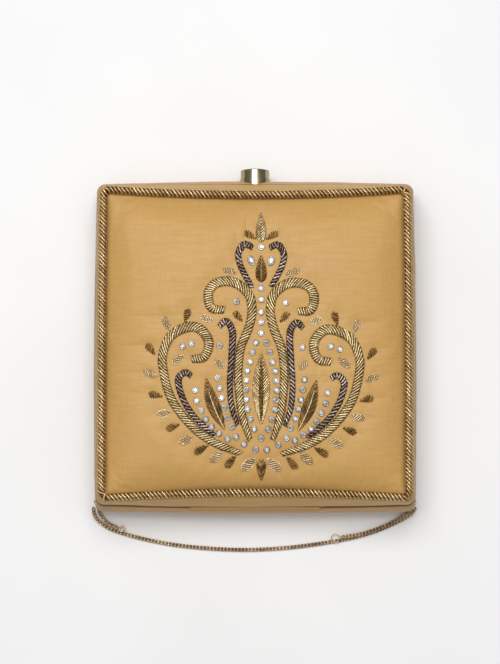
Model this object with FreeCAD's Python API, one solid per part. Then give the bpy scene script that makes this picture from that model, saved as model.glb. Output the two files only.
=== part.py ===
import FreeCAD, Part
import os
from math import cos, pi, radians, sin, sqrt, tan

# A square box clutch, lying on its back. X runs across it, Y from the hinge to the lock,
# Z out of the front panel. The origin is the middle of the flat of its back. Millimetres.

V = FreeCAD.Vector
X_AXIS, Y_AXIS, Z_AXIS = V(1, 0, 0), V(0, 1, 0), V(0, 0, 1)

# Back half: a tray that rolls up from its flat floor to its widest line, then leans in a little.
WIDEST_Z = 13.0
SEAM_Z = 22.0
SEAM_GAP = 0.2
BACK_HALF_X, BACK_HALF_Y = 78.6, 81.3
BACK_SAG_X, BACK_SAG_Y = 1.0, 1.4
BACK_ROLL = 12.0
BACK_LEAN_X, BACK_LEAN_Y = 1.3, 3.0
CORNER = 4.0

# Front half: a band that leans in to a ledge, and a padded pillow that stands inside the ledge.
LEDGE_Z = 36.4
LID_HALF_X, LID_HALF_Y = 77.2, 78.2
LID_LEAN_X, LID_LEAN_Y = 1.6, 4.5
LID_SAG_X, LID_SAG_Y = 0.9, 1.3
LEDGE_SAG_X, LEDGE_SAG_Y = 0.3, -2.4
PILLOW_HALF_X, PILLOW_HALF_Y = 70.9, 69.0
PILLOW_SAG_X, PILLOW_SAG_Y = 0.3, -3.0
PILLOW_RIM_Z, PILLOW_CROWN = 37.4, 8.6

# Layers, outside to inside, and the clearance between one layer and the next.
COVER = 0.8
BOARD = 1.5
LINING = 0.6
LAYER_GAP = 0.1
BACK_FOAM = 1.6
LID_BOARD_Z = 35.5

# Metal frame round each mouth.
FRAME_HALF_X, FRAME_HALF_Y = 74.2, 74.5
FRAME_SAG_X, FRAME_SAG_Y = 0.8, 0.6
FRAME_CORNER = 2.0
FRAME_WALL = 1.0
FRAME_DEPTH = 6.8

# Hinge on the lower seam.
HINGE_Y = -78.3
KNUCKLE_R, PIN_R, PIN_BORE_R = 1.1, 0.55, 0.6
KNUCKLE_LENGTH, KNUCKLE_GAP, KNUCKLES = 12.0, 0.3, 5
LEAF_THICK = 0.7
HINGE_NOTCH_HALF_Z = 1.4
HINGE_NOTCH_INNER_Y = -73.0
HINGE_COVER_R, HINGE_COVER_THICK = 1.35, 0.2
RIVET_R, RIVET_HEAD_R, RIVET_HEAD = 0.7, 1.2, 0.4

# Push lock at the top.
LOCK_Z = 13.0
KNOB_R, KNOB_BACK_Y, KNOB_END_Y = 7.1, 81.3, 86.9
COLLAR_R, COLLAR_BORE_R, COLLAR_BACK_Y, COLLAR_FACE_Y = 7.5, 7.18, 78.95, 82.4
COLLAR_FLOOR = 0.65
LOCK_HOLE_R = 7.6
STEM_R, STEM_BORE_R = 2.0, 2.08
LATCH_Y, LATCH_THICK = 69.9, 1.0
HOUSING_LOW_Y, HOUSING_HIGH_Y = 64.5, 76.4
HOUSING_HALF_X, HOUSING_LOW_Z, HOUSING_HIGH_Z = 7.0, 8.2, 17.6
SHEET_METAL = 0.8
LOCK_NOTCH_HALF_X, LOCK_NOTCH_Z = 8.2, 18.4
EAR_HALF_X, EAR_RIVET_X = 13.0, 10.8
CATCH_Y, CATCH_THICK = 72.0, 0.8
CATCH_RIVET_X = 3.0
SPRING_R, SPRING_WIRE_R, SPRING_TURNS = 2.9, 0.25, 5

# Chain, its lugs under the roll of the lower corners, and the rings that hang from them.
CHAIN_R = 1.0
LUG_EYE = V(77.5, -75.6, 8.2)
LUG_EYE_R = 0.85
LUG_PLATE_LOW, LUG_PLATE_HIGH = V(75.8, -74.7, 7.4), V(77.7, -71.0, 10.0)
LUG_SHANK, LUG_SHANK_R = 2.4, 0.4
CORNER_RING_R, LUG_WIRE_R = 1.7, 0.35
RING_DIP_DEG = 40.0

# Embroidery. The motif is drawn about its own axis, then moved and sheared a little.
CORD_R = 2.1
CORD_HALF_X, CORD_HALF_Y = 73.1, 71.2
CORD_SAG_X, CORD_SAG_Y, CORD_CORNER = 0.3, -2.7, 3.0
STITCH_GAP = 0.15
SCROLL_THICK = 1.5
LEAF_LIFT = 1.0
MOTIF_X, MOTIF_SLOPE = 2.8, 0.02
STONE_R, STONE_TABLE_R, STONE_THICK = 1.3, 0.8, 1.0

GOLD_SCROLL_WIDTH, DARK_SCROLL_WIDTH = 4.0, 2.2
CENTRAL_SCROLL = [
    (17.5, 14.4), (23.6, 15.3), (25.0, 22.4), (21.0, 27.2), (13.1, 27.7), (6.1, 22.4), (4.3, 14.4),
    (6.1, 5.6), (9.6, -3.2), (10.9, -14.6), (10.4, -25.1), (8.7, -36.5), (5.2, -46.9),
]
OUTER_SCROLL = [
    (33.0, -9.3), (26.9, -8.0), (24.8, -1.0), (29.0, 5.2), (35.5, 5.7), (43.0, 1.3), (46.7, -8.0),
    (45.7, -18.0), (42.6, -27.8), (36.7, -36.5), (28.8, -44.3), (19.6, -49.6), (9.6, -53.3),
]
HOOK_SCROLL = [(4.0, 44.6), (7.9, 46.2), (10.9, 41.6), (9.7, 34.3), (5.4, 27.9)]
INNER_DARK_SCROLL = [
    (19.9, 6.5), (16.6, 9.2), (13.6, 3.9), (14.0, -7.5), (14.8, -20.7), (13.9, -31.2), (11.0, -40.2),
]
OUTER_DARK_SCROLL = [
    (33.0, -17.2), (36.1, -15.5), (39.2, -19.4), (37.1, -27.8), (32.3, -35.6), (26.2, -41.6),
    (21.6, -45.2),
]
# Each leaf: x and y of its middle, its length, its width, and its direction in degrees.
CENTRE_LEAF = (0.0, -22.0, 32.4, 7.0, 90)
LIGHT_LEAVES = [
    (15.0, 33.1, 7.0, 3.0, 20), (39.4, -9.5, 7.2, 3.2, -40), (19.8, -11.2, 6.0, 2.6, 45),
    (21.3, -55.0, 7.4, 3.2, -42), (35.7, -47.5, 7.4, 3.2, -25), (45.9, -35.1, 7.4, 3.2, -9),
    (52.5, -16.3, 7.6, 3.4, 25), (45.0, 7.9, 7.6, 3.4, 72), (25.8, 10.2, 6.8, 3.0, 18),
    (6.0, -58.2, 9.0, 4.2, -39),
]
BRONZE_LEAVES = [
    (5.2, 50.6, 6.6, 2.8, 32), (10.8, 11.4, 6.0, 2.8, 52), (14.4, -57.1, 7.4, 3.2, -50),
    (28.3, -51.6, 7.4, 3.2, -30), (41.8, -41.4, 7.4, 3.2, -20), (49.9, -26.5, 7.6, 3.4, 14),
    (52.3, -4.8, 7.6, 3.4, 54), (35.2, 11.5, 7.6, 3.4, 107), (21.7, -30.2, 26.0, 5.2, 68),
]
TOP_LEAF = (0.0, 55.0, 14.6, 6.2, 90)
UPPER_BRONZE_LEAF = (0.0, 34.8, 12.6, 5.6, 90)
BOTTOM_BRONZE_LEAF = (0.0, -60.0, 10.0, 4.2, 90)
STONE_COLUMN = [44.8, 25.0, 19.7, 13.7, 8.9, 3.7, -45.8]
STONE_PAIRS = [
    (2.4, -0.9), (4.1, -5.3), (5.3, -10.0), (6.6, -14.2), (7.0, -18.8), (7.2, -23.2), (6.9, -27.8),
    (6.4, -32.3), (5.0, -37.0), (3.3, -41.6),
    (20.4, -17.9), (19.6, -22.7), (18.7, -27.4), (17.5, -31.8), (16.1, -36.5), (13.9, -40.8),
    (11.9, -45.5), (8.1, -48.8), (2.6, -51.2),
    (31.2, -23.9), (30.4, -29.0), (28.3, -33.5), (26.1, -37.5), (23.4, -41.0), (19.9, -44.0),
    (15.9, -46.6),
    (11.7, 18.5), (19.6, -2.6), (32.9, -1.9), (37.1, -3.2),
]
OVAL_STONE = (4.8, 38.3)

# Routes of the chain: the main run from the left ring to the right ring, and its two tails,
# which lie back along it and partly on it.
CHAIN_MAIN = [
    V(-79.0, -78.6, 5.6), V(-79.1, -80.6, 4.4), V(-78.5, -82.6, 3.2), V(-76.9, -84.9, 1.9),
    V(-74.4, -87.0, 1.1), V(-71.1, -88.9, 1.0), V(-66.6, -90.5, 1.0), V(-59.9, -92.5, 1.0),
    V(-50.6, -94.7, 1.0), V(-38.3, -96.9, 1.0), V(-21.1, -98.6, 1.0), V(-2.5, -99.2, 1.0),
    V(16.1, -98.1, 1.0), V(30.9, -96.2, 1.0), V(43.7, -94.1, 1.0), V(52.9, -92.0, 1.0),
    V(59.9, -89.7, 1.0), V(65.8, -87.4, 1.0), V(70.9, -85.0, 1.2), V(75.0, -82.6, 2.3),
    V(77.5, -80.5, 4.0), V(78.4, -78.8, 5.6),
]
CHAIN_TAIL_RIGHT = [
    V(76.1, -79.0, 5.2), V(74.0, -81.2, 3.9), V(70.9, -83.6, 3.2), V(65.8, -86.4, 3.1),
    V(60.1, -88.8, 3.15), V(53.4, -91.1, 3.1), V(47.0, -92.3, 3.0), V(42.5, -92.8, 2.85),
]
CHAIN_TAIL_LEFT = [
    V(-76.4, -79.0, 5.3), V(-76.0, -81.3, 4.1), V(-74.8, -83.5, 3.2), V(-72.8, -85.5, 2.8),
    V(-70.2, -87.1, 2.55), V(-67.6, -88.1, 2.1),
]
# Each end ring: its middle, its radius, and its wire's radius.
END_RINGS = [(V(39.4, -93.4, 2.4), 2.0, 0.2), (V(-65.2, -88.8, 2.5), 1.3, 0.4)]


def side_radius(half_length, sag):
    """Radius of a side that stands out by sag at its middle; negative where it curves inwards."""
    return (half_length ** 2 + sag ** 2) / (2 * sag)


def ring(z, half_x, half_y, sag_x, sag_y, corner):
    """Closed outline at height z: four slightly curved sides joined by tangent corner arcs."""
    radius_x = side_radius(half_y, sag_x)
    radius_y = side_radius(half_x, sag_y)
    centre_x = V(half_x - radius_x, 0, z)
    centre_y = V(0, half_y - radius_y, z)
    x, y = half_x - corner, half_y - corner
    for _ in range(20):
        x = centre_x.x + sqrt((radius_x - corner) ** 2 - y ** 2) * (1 if radius_x > 0 else -1)
        y = centre_y.y + sqrt((radius_y - corner) ** 2 - x ** 2) * (1 if radius_y > 0 else -1)
    middle = V(x, y, z)
    on_x = centre_x + (middle - centre_x) * (radius_x / (radius_x - corner))
    on_y = centre_y + (middle - centre_y) * (radius_y / (radius_y - corner))
    outward = (on_x - middle) + (on_y - middle)
    on_corner = middle + outward * (corner / outward.Length)
    edges = []
    for sign_x, sign_y in ((1, 1), (-1, 1), (-1, -1), (1, -1)):
        def place(point):
            return V(point.x * sign_x, point.y * sign_y, z)
        corner_arc = [place(on_x), place(on_corner), place(on_y)]
        side_arc = [place(on_y), V(0, half_y * sign_y, z), V(-on_y.x * sign_x, on_y.y * sign_y, z)]
        if sign_x != sign_y:
            corner_arc.reverse()
            side_arc = [place(on_x), V(half_x * sign_x, 0, z), V(on_x.x * sign_x, -on_x.y * sign_y, z)]
        edges.append(Part.Arc(*corner_arc).toShape())
        edges.append(Part.Arc(*side_arc).toShape())
    return Part.Wire(edges)


def loft(rings):
    return Part.makeLoft(rings, True, False)


def box(low, high):
    size = high - low
    return Part.makeBox(size.x, size.y, size.z, low)


def rod(start, end, radius):
    return Part.makeCylinder(radius, (end - start).Length, start, end - start)


def torus(centre, axis, radius, wire_radius):
    return Part.makeTorus(radius, wire_radius, centre, axis)


def mirrored(shape):
    return shape.mirror(V(0, 0, 0), X_AXIS)


def save(name, shape):
    shape.exportStep("parts/" + name + ".step")


# Forms of the two halves


def back_ring(z, inset, floor):
    """Outline of the back half at height z, for a layer that lies inset from the outside."""
    roll = BACK_ROLL - inset
    tuck, lean = 0.0, 0.0
    if z < WIDEST_Z:
        tuck = roll * (1 - sqrt(max(0.0, 1 - ((WIDEST_Z - z) / (WIDEST_Z - floor)) ** 2)))
    else:
        lean = ((z - WIDEST_Z) / (SEAM_Z - WIDEST_Z)) ** 2
    away = inset + tuck
    return ring(
        z, BACK_HALF_X - away - lean * BACK_LEAN_X, BACK_HALF_Y - away - lean * BACK_LEAN_Y,
        BACK_SAG_X, BACK_SAG_Y, max(CORNER - inset, 1.0) + 0.4 * tuck,
    )


def back_form(inset, floor, top):
    """Solid tray form of the back half, with its floor at floor and its top cut off at top."""
    steps = [radians(angle) for angle in (0, 18, 36, 54, 72)]
    levels = [WIDEST_Z - (WIDEST_Z - floor) * cos(step) for step in steps]
    levels += [WIDEST_Z, (WIDEST_Z + top) / 2, top]
    return loft([back_ring(z, inset, floor) for z in levels])


def lid_ring(z, inset):
    lean = ((z - SEAM_Z) / (LEDGE_Z - SEAM_Z)) ** 2
    return ring(
        z, LID_HALF_X - inset - lean * LID_LEAN_X, LID_HALF_Y - inset - lean * LID_LEAN_Y,
        LID_SAG_X + lean * (LEDGE_SAG_X - LID_SAG_X), LID_SAG_Y + lean * (LEDGE_SAG_Y - LID_SAG_Y),
        max(CORNER - inset, 1.0),
    )


def lid_band(inset, low, top):
    return loft([lid_ring(low + (top - low) * part / 4, inset) for part in range(5)])


def dome_z(x, y):
    """Height of the padded front: level at its rim, crowned in the middle."""
    across = 1 - (x / PILLOW_HALF_X) ** 4
    along = 1 - (y / PILLOW_HALF_Y) ** 4
    return PILLOW_RIM_Z + PILLOW_CROWN * across * along


def dome_normal(x, y):
    step = 0.01
    rise_x = (dome_z(x + step, y) - dome_z(x - step, y)) / (2 * step)
    rise_y = (dome_z(x, y + step) - dome_z(x, y - step)) / (2 * step)
    return V(-rise_x, -rise_y, 1).normalize()


def dome_face(rise):
    """The padded front as one face, raised by rise."""
    count, reach = 16, 1.04
    steps = [reach * (2 * i / count - 1) for i in range(count + 1)]
    surface = Part.BSplineSurface()
    surface.interpolate([
        [V(u * PILLOW_HALF_X, v * PILLOW_HALF_Y, dome_z(u * PILLOW_HALF_X, v * PILLOW_HALF_Y) + rise)
         for v in steps] for u in steps
    ])
    return surface.toShape()


def pillow_column(inset, low):
    """The pillow down to height low, its top at the dome dropped by inset."""
    outline = ring(
        low, PILLOW_HALF_X - inset, PILLOW_HALF_Y - inset, PILLOW_SAG_X, PILLOW_SAG_Y, 3.0 - inset * 0.8,
    )
    column = Part.Face(outline).extrude(Z_AXIS * 30)
    return column.cut(dome_face(-inset).extrude(Z_AXIS * 40))


def lid_form(inset, low):
    ledge = LEDGE_Z - inset
    return lid_band(inset, low, ledge).fuse(pillow_column(inset, ledge - 1.0)).removeSplitter()


def hinge_notch():
    """Room for the knuckles and their leaves in the rims of both halves."""
    half_run = hinge_run() / 2 + 0.4
    return box(
        V(-half_run, HINGE_Y - 4, SEAM_Z - HINGE_NOTCH_HALF_Z),
        V(half_run, HINGE_NOTCH_INNER_Y, SEAM_Z + HINGE_NOTCH_HALF_Z),
    )


def lock_hole(radius, low_y):
    return rod(V(0, low_y, LOCK_Z), V(0, KNOB_END_Y, LOCK_Z), radius)


# Back half


def back_cover():
    tray = back_form(0, 0, SEAM_Z - SEAM_GAP).cut(back_form(COVER, COVER, SEAM_Z + 1))
    return tray.cut(hinge_notch()).cut(lock_hole(LOCK_HOLE_R, HOUSING_HIGH_Y))


def back_padding():
    low, high = COVER + LAYER_GAP, COVER + BACK_FOAM
    edge = BACK_ROLL + 1.0
    rings = [
        ring(z, BACK_HALF_X - edge, BACK_HALF_Y - edge, BACK_SAG_X, BACK_SAG_Y, CORNER)
        for z in (low, high)
    ]
    return loft(rings)


def back_board():
    outside, inside = COVER + LAYER_GAP, COVER + LAYER_GAP + BOARD
    floor = COVER + BACK_FOAM + LAYER_GAP
    tray = back_form(outside, floor, SEAM_Z - SEAM_GAP - LAYER_GAP).cut(
        back_form(inside, floor + BOARD, SEAM_Z + 1)
    )
    return tray.cut(hinge_notch()).cut(lock_hole(LOCK_HOLE_R, HOUSING_HIGH_Y))


def back_lining():
    outside = COVER + BOARD + 2 * LAYER_GAP
    floor = COVER + BACK_FOAM + BOARD + 2 * LAYER_GAP
    top = frame_low_z() - LAYER_GAP
    tray = back_form(outside, floor, top).cut(back_form(outside + LINING, floor + LINING, top + 1))
    return tray.cut(lock_hole(HOUSING_HALF_X + 1, 60))


def frame_low_z():
    return SEAM_Z - SEAM_GAP - FRAME_DEPTH


def frame_ring(low, high):
    """Strip of metal bent to the shape of the mouth."""
    def wall(inset):
        return Part.Face(ring(
            low, FRAME_HALF_X - inset, FRAME_HALF_Y - inset, FRAME_SAG_X, FRAME_SAG_Y,
            FRAME_CORNER - inset * 0.8,
        )).extrude(Z_AXIS * (high - low))
    return wall(0).cut(wall(FRAME_WALL)).cut(hinge_notch())


def back_frame():
    strip = frame_ring(frame_low_z(), SEAM_Z - SEAM_GAP)
    lock_notch = box(V(-LOCK_NOTCH_HALF_X, 0, 0), V(LOCK_NOTCH_HALF_X, BACK_HALF_Y, LOCK_NOTCH_Z))
    return drill(strip.cut(lock_notch), back_rivet_places())


def lid_frame():
    return drill(frame_ring(SEAM_Z + SEAM_GAP, SEAM_Z + SEAM_GAP + FRAME_DEPTH), lid_rivet_places())


# Rivets. Each place is x, z, the sign of the frame wall it goes through, and its inner end.


def rivet_holes(places):
    return [
        rod(V(x, side * (abs(inner_y) - 3), z), V(x, side * (FRAME_HALF_Y + 1), z), RIVET_R + 0.05)
        for x, z, side, inner_y in places
    ]


def drill(shape, places):
    return shape.cut(rivet_holes(places))


def rivets(places):
    """Round-headed rivets from the inner face of the piece they hold to the frame's outer face."""
    made = []
    for x, z, side, inner_y in places:
        outer_y = side * FRAME_HALF_Y
        made.append(rod(V(x, inner_y, z), V(x, outer_y, z), RIVET_R).fuse([
            rod(V(x, inner_y, z), V(x, inner_y - side * RIVET_HEAD, z), RIVET_HEAD_R),
            rod(V(x, outer_y, z), V(x, outer_y + side * RIVET_HEAD, z), RIVET_HEAD_R),
        ]).removeSplitter())
    return Part.makeCompound(made)


def hinge_rivet_places(first):
    side = -1 if first == 0 else 1
    return [
        (knuckle_low_x(index) + KNUCKLE_LENGTH / 2, SEAM_Z + side * (FRAME_DEPTH - 2.9), -1, leaf_inner_y())
        for index in range(first, KNUCKLES, 2)
    ]


def back_rivet_places():
    ears = [(side * EAR_RIVET_X, LOCK_NOTCH_Z, 1, ear_face_y() - SHEET_METAL) for side in (-1, 1)]
    return hinge_rivet_places(0) + ears


def lid_rivet_places():
    catch = [(side * CATCH_RIVET_X, SEAM_Z + FRAME_DEPTH - 2.6, 1, CATCH_Y) for side in (-1, 1)]
    return hinge_rivet_places(1) + catch


# Hinge


def hinge_run():
    return KNUCKLES * KNUCKLE_LENGTH + (KNUCKLES - 1) * KNUCKLE_GAP


def knuckle_low_x(index):
    return -hinge_run() / 2 + index * (KNUCKLE_LENGTH + KNUCKLE_GAP)


def leaf_inner_y():
    """Inner face of the flanges that the leaves turn along the inside of the frame."""
    return -FRAME_HALF_Y + FRAME_WALL + 0.2 + LEAF_THICK


def knuckle(index):
    """One knuckle with its leaf; leaves with an even index turn down into the back half."""
    low_x = knuckle_low_x(index)
    high_x = low_x + KNUCKLE_LENGTH
    side = -1 if index % 2 == 0 else 1
    outer_z = SEAM_Z + side * KNUCKLE_R
    inner_z = outer_z - side * LEAF_THICK
    inner_y = leaf_inner_y()
    plate = box(V(low_x, HINGE_Y, min(outer_z, inner_z)), V(high_x, inner_y, max(outer_z, inner_z)))
    flange_z = SEAM_Z + side * (FRAME_DEPTH - 1.0)
    flange = box(
        V(low_x + 1, inner_y - LEAF_THICK, min(flange_z, inner_z)),
        V(high_x - 1, inner_y, max(flange_z, inner_z)),
    )
    barrel = rod(V(low_x, HINGE_Y, SEAM_Z), V(high_x, HINGE_Y, SEAM_Z), KNUCKLE_R)
    bore = rod(V(low_x - 1, HINGE_Y, SEAM_Z), V(high_x + 1, HINGE_Y, SEAM_Z), PIN_BORE_R)
    return barrel.fuse([plate, flange]).removeSplitter().cut(bore)


def knuckles(first):
    leaves_and_barrels = [knuckle(index) for index in range(first, KNUCKLES, 2)]
    return drill(Part.makeCompound(leaves_and_barrels), hinge_rivet_places(first))


def hinge_cover():
    """Strip of silk on the lid that hides the hinge from above and from outside."""
    half = hinge_run() / 2 + 0.3
    low, high = V(-half, HINGE_Y, SEAM_Z), V(half, HINGE_Y, SEAM_Z)
    sleeve = rod(low, high, HINGE_COVER_R).cut(rod(low, high, HINGE_COVER_R - HINGE_COVER_THICK))
    return sleeve.common(box(V(-half, HINGE_Y - 2, SEAM_Z + SEAM_GAP), V(half, HINGE_Y + 0.2, SEAM_Z + 2)))


def hinge_pin():
    half = hinge_run() / 2 + 0.3
    return rod(V(-half, HINGE_Y, SEAM_Z), V(half, HINGE_Y, SEAM_Z), PIN_R)


# Lock


def lock_collar():
    sleeve = rod(V(0, COLLAR_BACK_Y, LOCK_Z), V(0, COLLAR_FACE_Y, LOCK_Z), COLLAR_R)
    well = rod(V(0, COLLAR_BACK_Y + COLLAR_FLOOR, LOCK_Z), V(0, KNOB_END_Y, LOCK_Z), COLLAR_BORE_R)
    return sleeve.cut(well).cut(rod(V(0, 70, LOCK_Z), V(0, 90, LOCK_Z), STEM_BORE_R))


def push_knob():
    knob = rod(V(0, KNOB_BACK_Y, LOCK_Z), V(0, KNOB_END_Y, LOCK_Z), KNOB_R)
    rim = [edge for edge in knob.Edges if abs(edge.CenterOfMass.y - KNOB_END_Y) < 0.01]
    return knob.makeFillet(0.5, rim)


def latch_slide():
    """Stem behind the knob, and the latch plate on its inner end with two noses."""
    stem = rod(V(0, LATCH_Y + LATCH_THICK, LOCK_Z), V(0, KNOB_BACK_Y, LOCK_Z), STEM_R)
    plate = box(V(-5, LATCH_Y, LOCK_Z - 2.5), V(5, LATCH_Y + LATCH_THICK, LOCK_Z + 2.5))
    noses = [
        box(V(x - 0.7, LATCH_Y + LATCH_THICK, LOCK_Z - 2.5), V(x + 0.7, CATCH_Y - 0.3, LOCK_Z - 1.0))
        for x in (-4.0, 4.0)
    ]
    return stem.fuse([plate] + noses).removeSplitter()


def lock_housing():
    """Open-topped box of pressed metal behind the top wall, with a flange up to the frame."""
    metal = SHEET_METAL
    low = V(-HOUSING_HALF_X, HOUSING_LOW_Y, HOUSING_LOW_Z)
    high = V(HOUSING_HALF_X, HOUSING_HIGH_Y, HOUSING_HIGH_Z)
    hollow = box(low + V(metal, metal, metal), V(high.x - metal, high.y - metal, high.z + 1))
    shell = box(low, high).cut(hollow)
    return shell.cut(rod(V(0, high.y - 2, LOCK_Z), V(0, high.y + 2, LOCK_Z), STEM_BORE_R))


def ear_face_y():
    return FRAME_HALF_Y - FRAME_WALL - 0.2


def housing_bracket():
    """Two ears that carry the housing, each with a flange riveted to the frame."""
    ears = []
    low_z, high_z = frame_low_z() + 0.5, SEAM_Z - 1.6
    for side in (-1, 1):
        inner_x = side * (HOUSING_HALF_X + LAYER_GAP)
        outer_x = inner_x + side * SHEET_METAL
        web = box(
            V(min(inner_x, outer_x), HOUSING_LOW_Y + 2, HOUSING_LOW_Z + 2),
            V(max(inner_x, outer_x), ear_face_y() - SHEET_METAL, high_z),
        )
        flange_ends = sorted([inner_x, side * EAR_HALF_X])
        flange = box(
            V(flange_ends[0], ear_face_y() - SHEET_METAL, low_z), V(flange_ends[1], ear_face_y(), high_z)
        )
        ears.append(web.fuse(flange).removeSplitter())
    return drill(Part.makeCompound(ears), back_rivet_places())


def knob_spring():
    start_y = HOUSING_LOW_Y + SHEET_METAL + SPRING_WIRE_R + 0.05
    length = LATCH_Y - start_y - SPRING_WIRE_R - 0.05
    helix = Part.makeHelix(length / SPRING_TURNS, length, SPRING_R)
    section = Part.Wire(Part.makeCircle(SPRING_WIRE_R, V(SPRING_R, 0, 0), Y_AXIS))
    coil = Part.Wire(helix.Edges).makePipeShell([section], True, True)
    coil.rotate(V(0, 0, 0), X_AXIS, -90)
    coil.translate(V(0, start_y, LOCK_Z))
    return coil


def lid_catch():
    """Forked tongue riveted inside the lid's frame, which straddles the stem."""
    top = SEAM_Z + FRAME_DEPTH - 0.4
    plate = box(V(-5, CATCH_Y, LOCK_Z - 3.2), V(5, CATCH_Y + CATCH_THICK, top))
    slot = box(V(-2.7, CATCH_Y - 1, LOCK_Z - 4), V(2.7, CATCH_Y + 2, LOCK_Z + 3))
    pad = box(V(-5, CATCH_Y + CATCH_THICK, SEAM_Z + 2), V(5, ear_face_y() + 0.1, top))
    return drill(plate.cut(slot).fuse(pad).removeSplitter(), lid_rivet_places())


# Front half


def lid_cover():
    return lid_form(0, SEAM_Z + SEAM_GAP).cut(lid_form(COVER, SEAM_Z - 1)).cut(hinge_notch())


def lid_padding():
    inset = COVER + LAYER_GAP
    return pillow_column(inset, LID_BOARD_Z + LAYER_GAP)


def lid_board():
    outside, inside = COVER + LAYER_GAP, COVER + LAYER_GAP + BOARD
    tray = lid_band(outside, SEAM_Z + SEAM_GAP + LAYER_GAP, LID_BOARD_Z).cut(
        lid_band(inside, SEAM_Z - 1, LID_BOARD_Z - BOARD)
    )
    return tray.cut(hinge_notch())


def lid_ceiling_z():
    return LID_BOARD_Z - BOARD - LAYER_GAP - LINING


def lid_lining():
    outside = COVER + BOARD + 2 * LAYER_GAP
    low = SEAM_Z + SEAM_GAP + FRAME_DEPTH + LAYER_GAP
    return lid_band(outside, low, LID_BOARD_Z - BOARD - LAYER_GAP).cut(
        lid_band(outside + LINING, low - 1, lid_ceiling_z())
    )


# Embroidery


def motif_point(x, y):
    return x + MOTIF_X, y - MOTIF_SLOPE * x


def on_dome(x, y, lift):
    """Placement on the padded front, lifted along its normal."""
    x, y = motif_point(x, y)
    normal = dome_normal(x, y)
    turn = FreeCAD.Rotation(Z_AXIS, normal)
    return FreeCAD.Placement(V(x, y, dome_z(x, y)) + normal * lift, turn)


def scroll_outline(points, width, side):
    """Band of even width along a smooth curve through the points, tapered at its last end."""
    line = Part.BSplineCurve()
    line.interpolate([V(*motif_point(side * x, y), 0) for x, y in points])
    count = 3 * len(points)
    left, right = [], []
    for index in range(count + 1):
        at = line.FirstParameter + (line.LastParameter - line.FirstParameter) * index / count
        along = line.tangent(at)[0]
        across = V(-along.y, along.x, 0) * (width / 2 * min(1.0, 0.25 + 4 * (1 - index / count)))
        left.append(line.value(at) + across)
        right.append(line.value(at) - across)
    edges = []
    for row in (left, right):
        curve = Part.BSplineCurve()
        curve.interpolate(row)
        edges.append(curve.toShape())
    edges.append(Part.makeLine(left[0], right[0]))
    edges.append(Part.makeLine(left[-1], right[-1]))
    return Part.Face(Part.Wire(Part.sortEdges(edges)[0]))


def scrolls(shapes, width):
    """Raised bands that follow the padded front."""
    layer = dome_face(STITCH_GAP).extrude(Z_AXIS * SCROLL_THICK)
    bands = []
    for points in shapes:
        for side in (-1, 1):
            column = scroll_outline(points, width, side).extrude(Z_AXIS * 60)
            bands += column.common(layer).Solids
    return Part.makeCompound(bands)


def leaf(x, y, length, width, direction):
    half = length / 2
    tips = V(-half, 0, 0), V(half, 0, 0)
    upper = Part.Arc(tips[0], V(0, width / 2, 0), tips[1]).toShape()
    lower = Part.Arc(tips[1], V(0, -width / 2, 0), tips[0]).toShape()
    plate = Part.Face(Part.Wire([upper, lower])).extrude(Z_AXIS * LEAF_LIFT)
    plate.rotate(V(0, 0, 0), Z_AXIS, direction)
    lift = STITCH_GAP + length ** 2 * 0.0008
    plate.Placement = on_dome(x, y, lift).multiply(plate.Placement)
    return plate


def leaves(paired, single):
    made = [leaf(*sizes) for sizes in single]
    for x, y, length, width, direction in paired:
        made.append(leaf(x, y, length, width, direction))
        made.append(leaf(-x, y, length, width, 180 - direction))
    return Part.makeCompound(made)


def stone(x, y):
    cut = Part.makeCone(STONE_R, STONE_TABLE_R, STONE_THICK)
    cut.Placement = on_dome(x, y, STITCH_GAP)
    return cut


def round_stones():
    made = [stone(0, y) for y in STONE_COLUMN]
    made += [stone(side * x, y) for x, y in STONE_PAIRS for side in (-1, 1)]
    return Part.makeCompound(made)


def oval_stones():
    made = []
    for side in (-1, 1):
        ring_edge = Part.Ellipse(V(0, 0, 0), 2.4, 1.4).toShape()
        cut = Part.Face(Part.Wire(ring_edge)).extrude(Z_AXIS * STONE_THICK)
        cut.rotate(V(0, 0, 0), Z_AXIS, 90 - side * 20)
        cut.Placement = on_dome(side * OVAL_STONE[0], OVAL_STONE[1], STITCH_GAP).multiply(cut.Placement)
        made.append(cut)
    return Part.makeCompound(made)


def border_cord():
    z = LEDGE_Z + LAYER_GAP + CORD_R
    path = ring(z, CORD_HALF_X, CORD_HALF_Y, CORD_SAG_X, CORD_SAG_Y, CORD_CORNER)
    start = path.Edges[0]
    section = Part.Wire(Part.makeCircle(
        CORD_R, start.valueAt(start.FirstParameter), start.tangentAt(start.FirstParameter)
    ))
    return path.makePipeShell([section], True, True)


# Chain


def ring_drop():
    """Direction in which the corner rings hang out of their eyes."""
    dip = radians(RING_DIP_DEG)
    return V(0, -cos(dip), -sin(dip))


def chain_lug():
    """Eye of wire whose shank lies on a small plate, which hugs the roll of the right corner."""
    drop = ring_drop()
    eye = torus(LUG_EYE, V(0, -drop.z, drop.y), LUG_EYE_R, LUG_WIRE_R)
    root = LUG_EYE - drop * (LUG_EYE_R + LUG_WIRE_R / 2)
    shank = rod(root, root + Y_AXIS * LUG_SHANK, LUG_SHANK_R)
    lug = box(LUG_PLATE_LOW, LUG_PLATE_HIGH).fuse([shank, eye]).removeSplitter()
    return lug.cut(back_form(-0.05, -0.05, SEAM_Z))


def corner_ring():
    return torus(LUG_EYE + ring_drop() * CORNER_RING_R, X_AXIS, CORNER_RING_R, LUG_WIRE_R)


def both_sides(shape):
    return Part.makeCompound([shape, mirrored(shape)])


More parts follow.
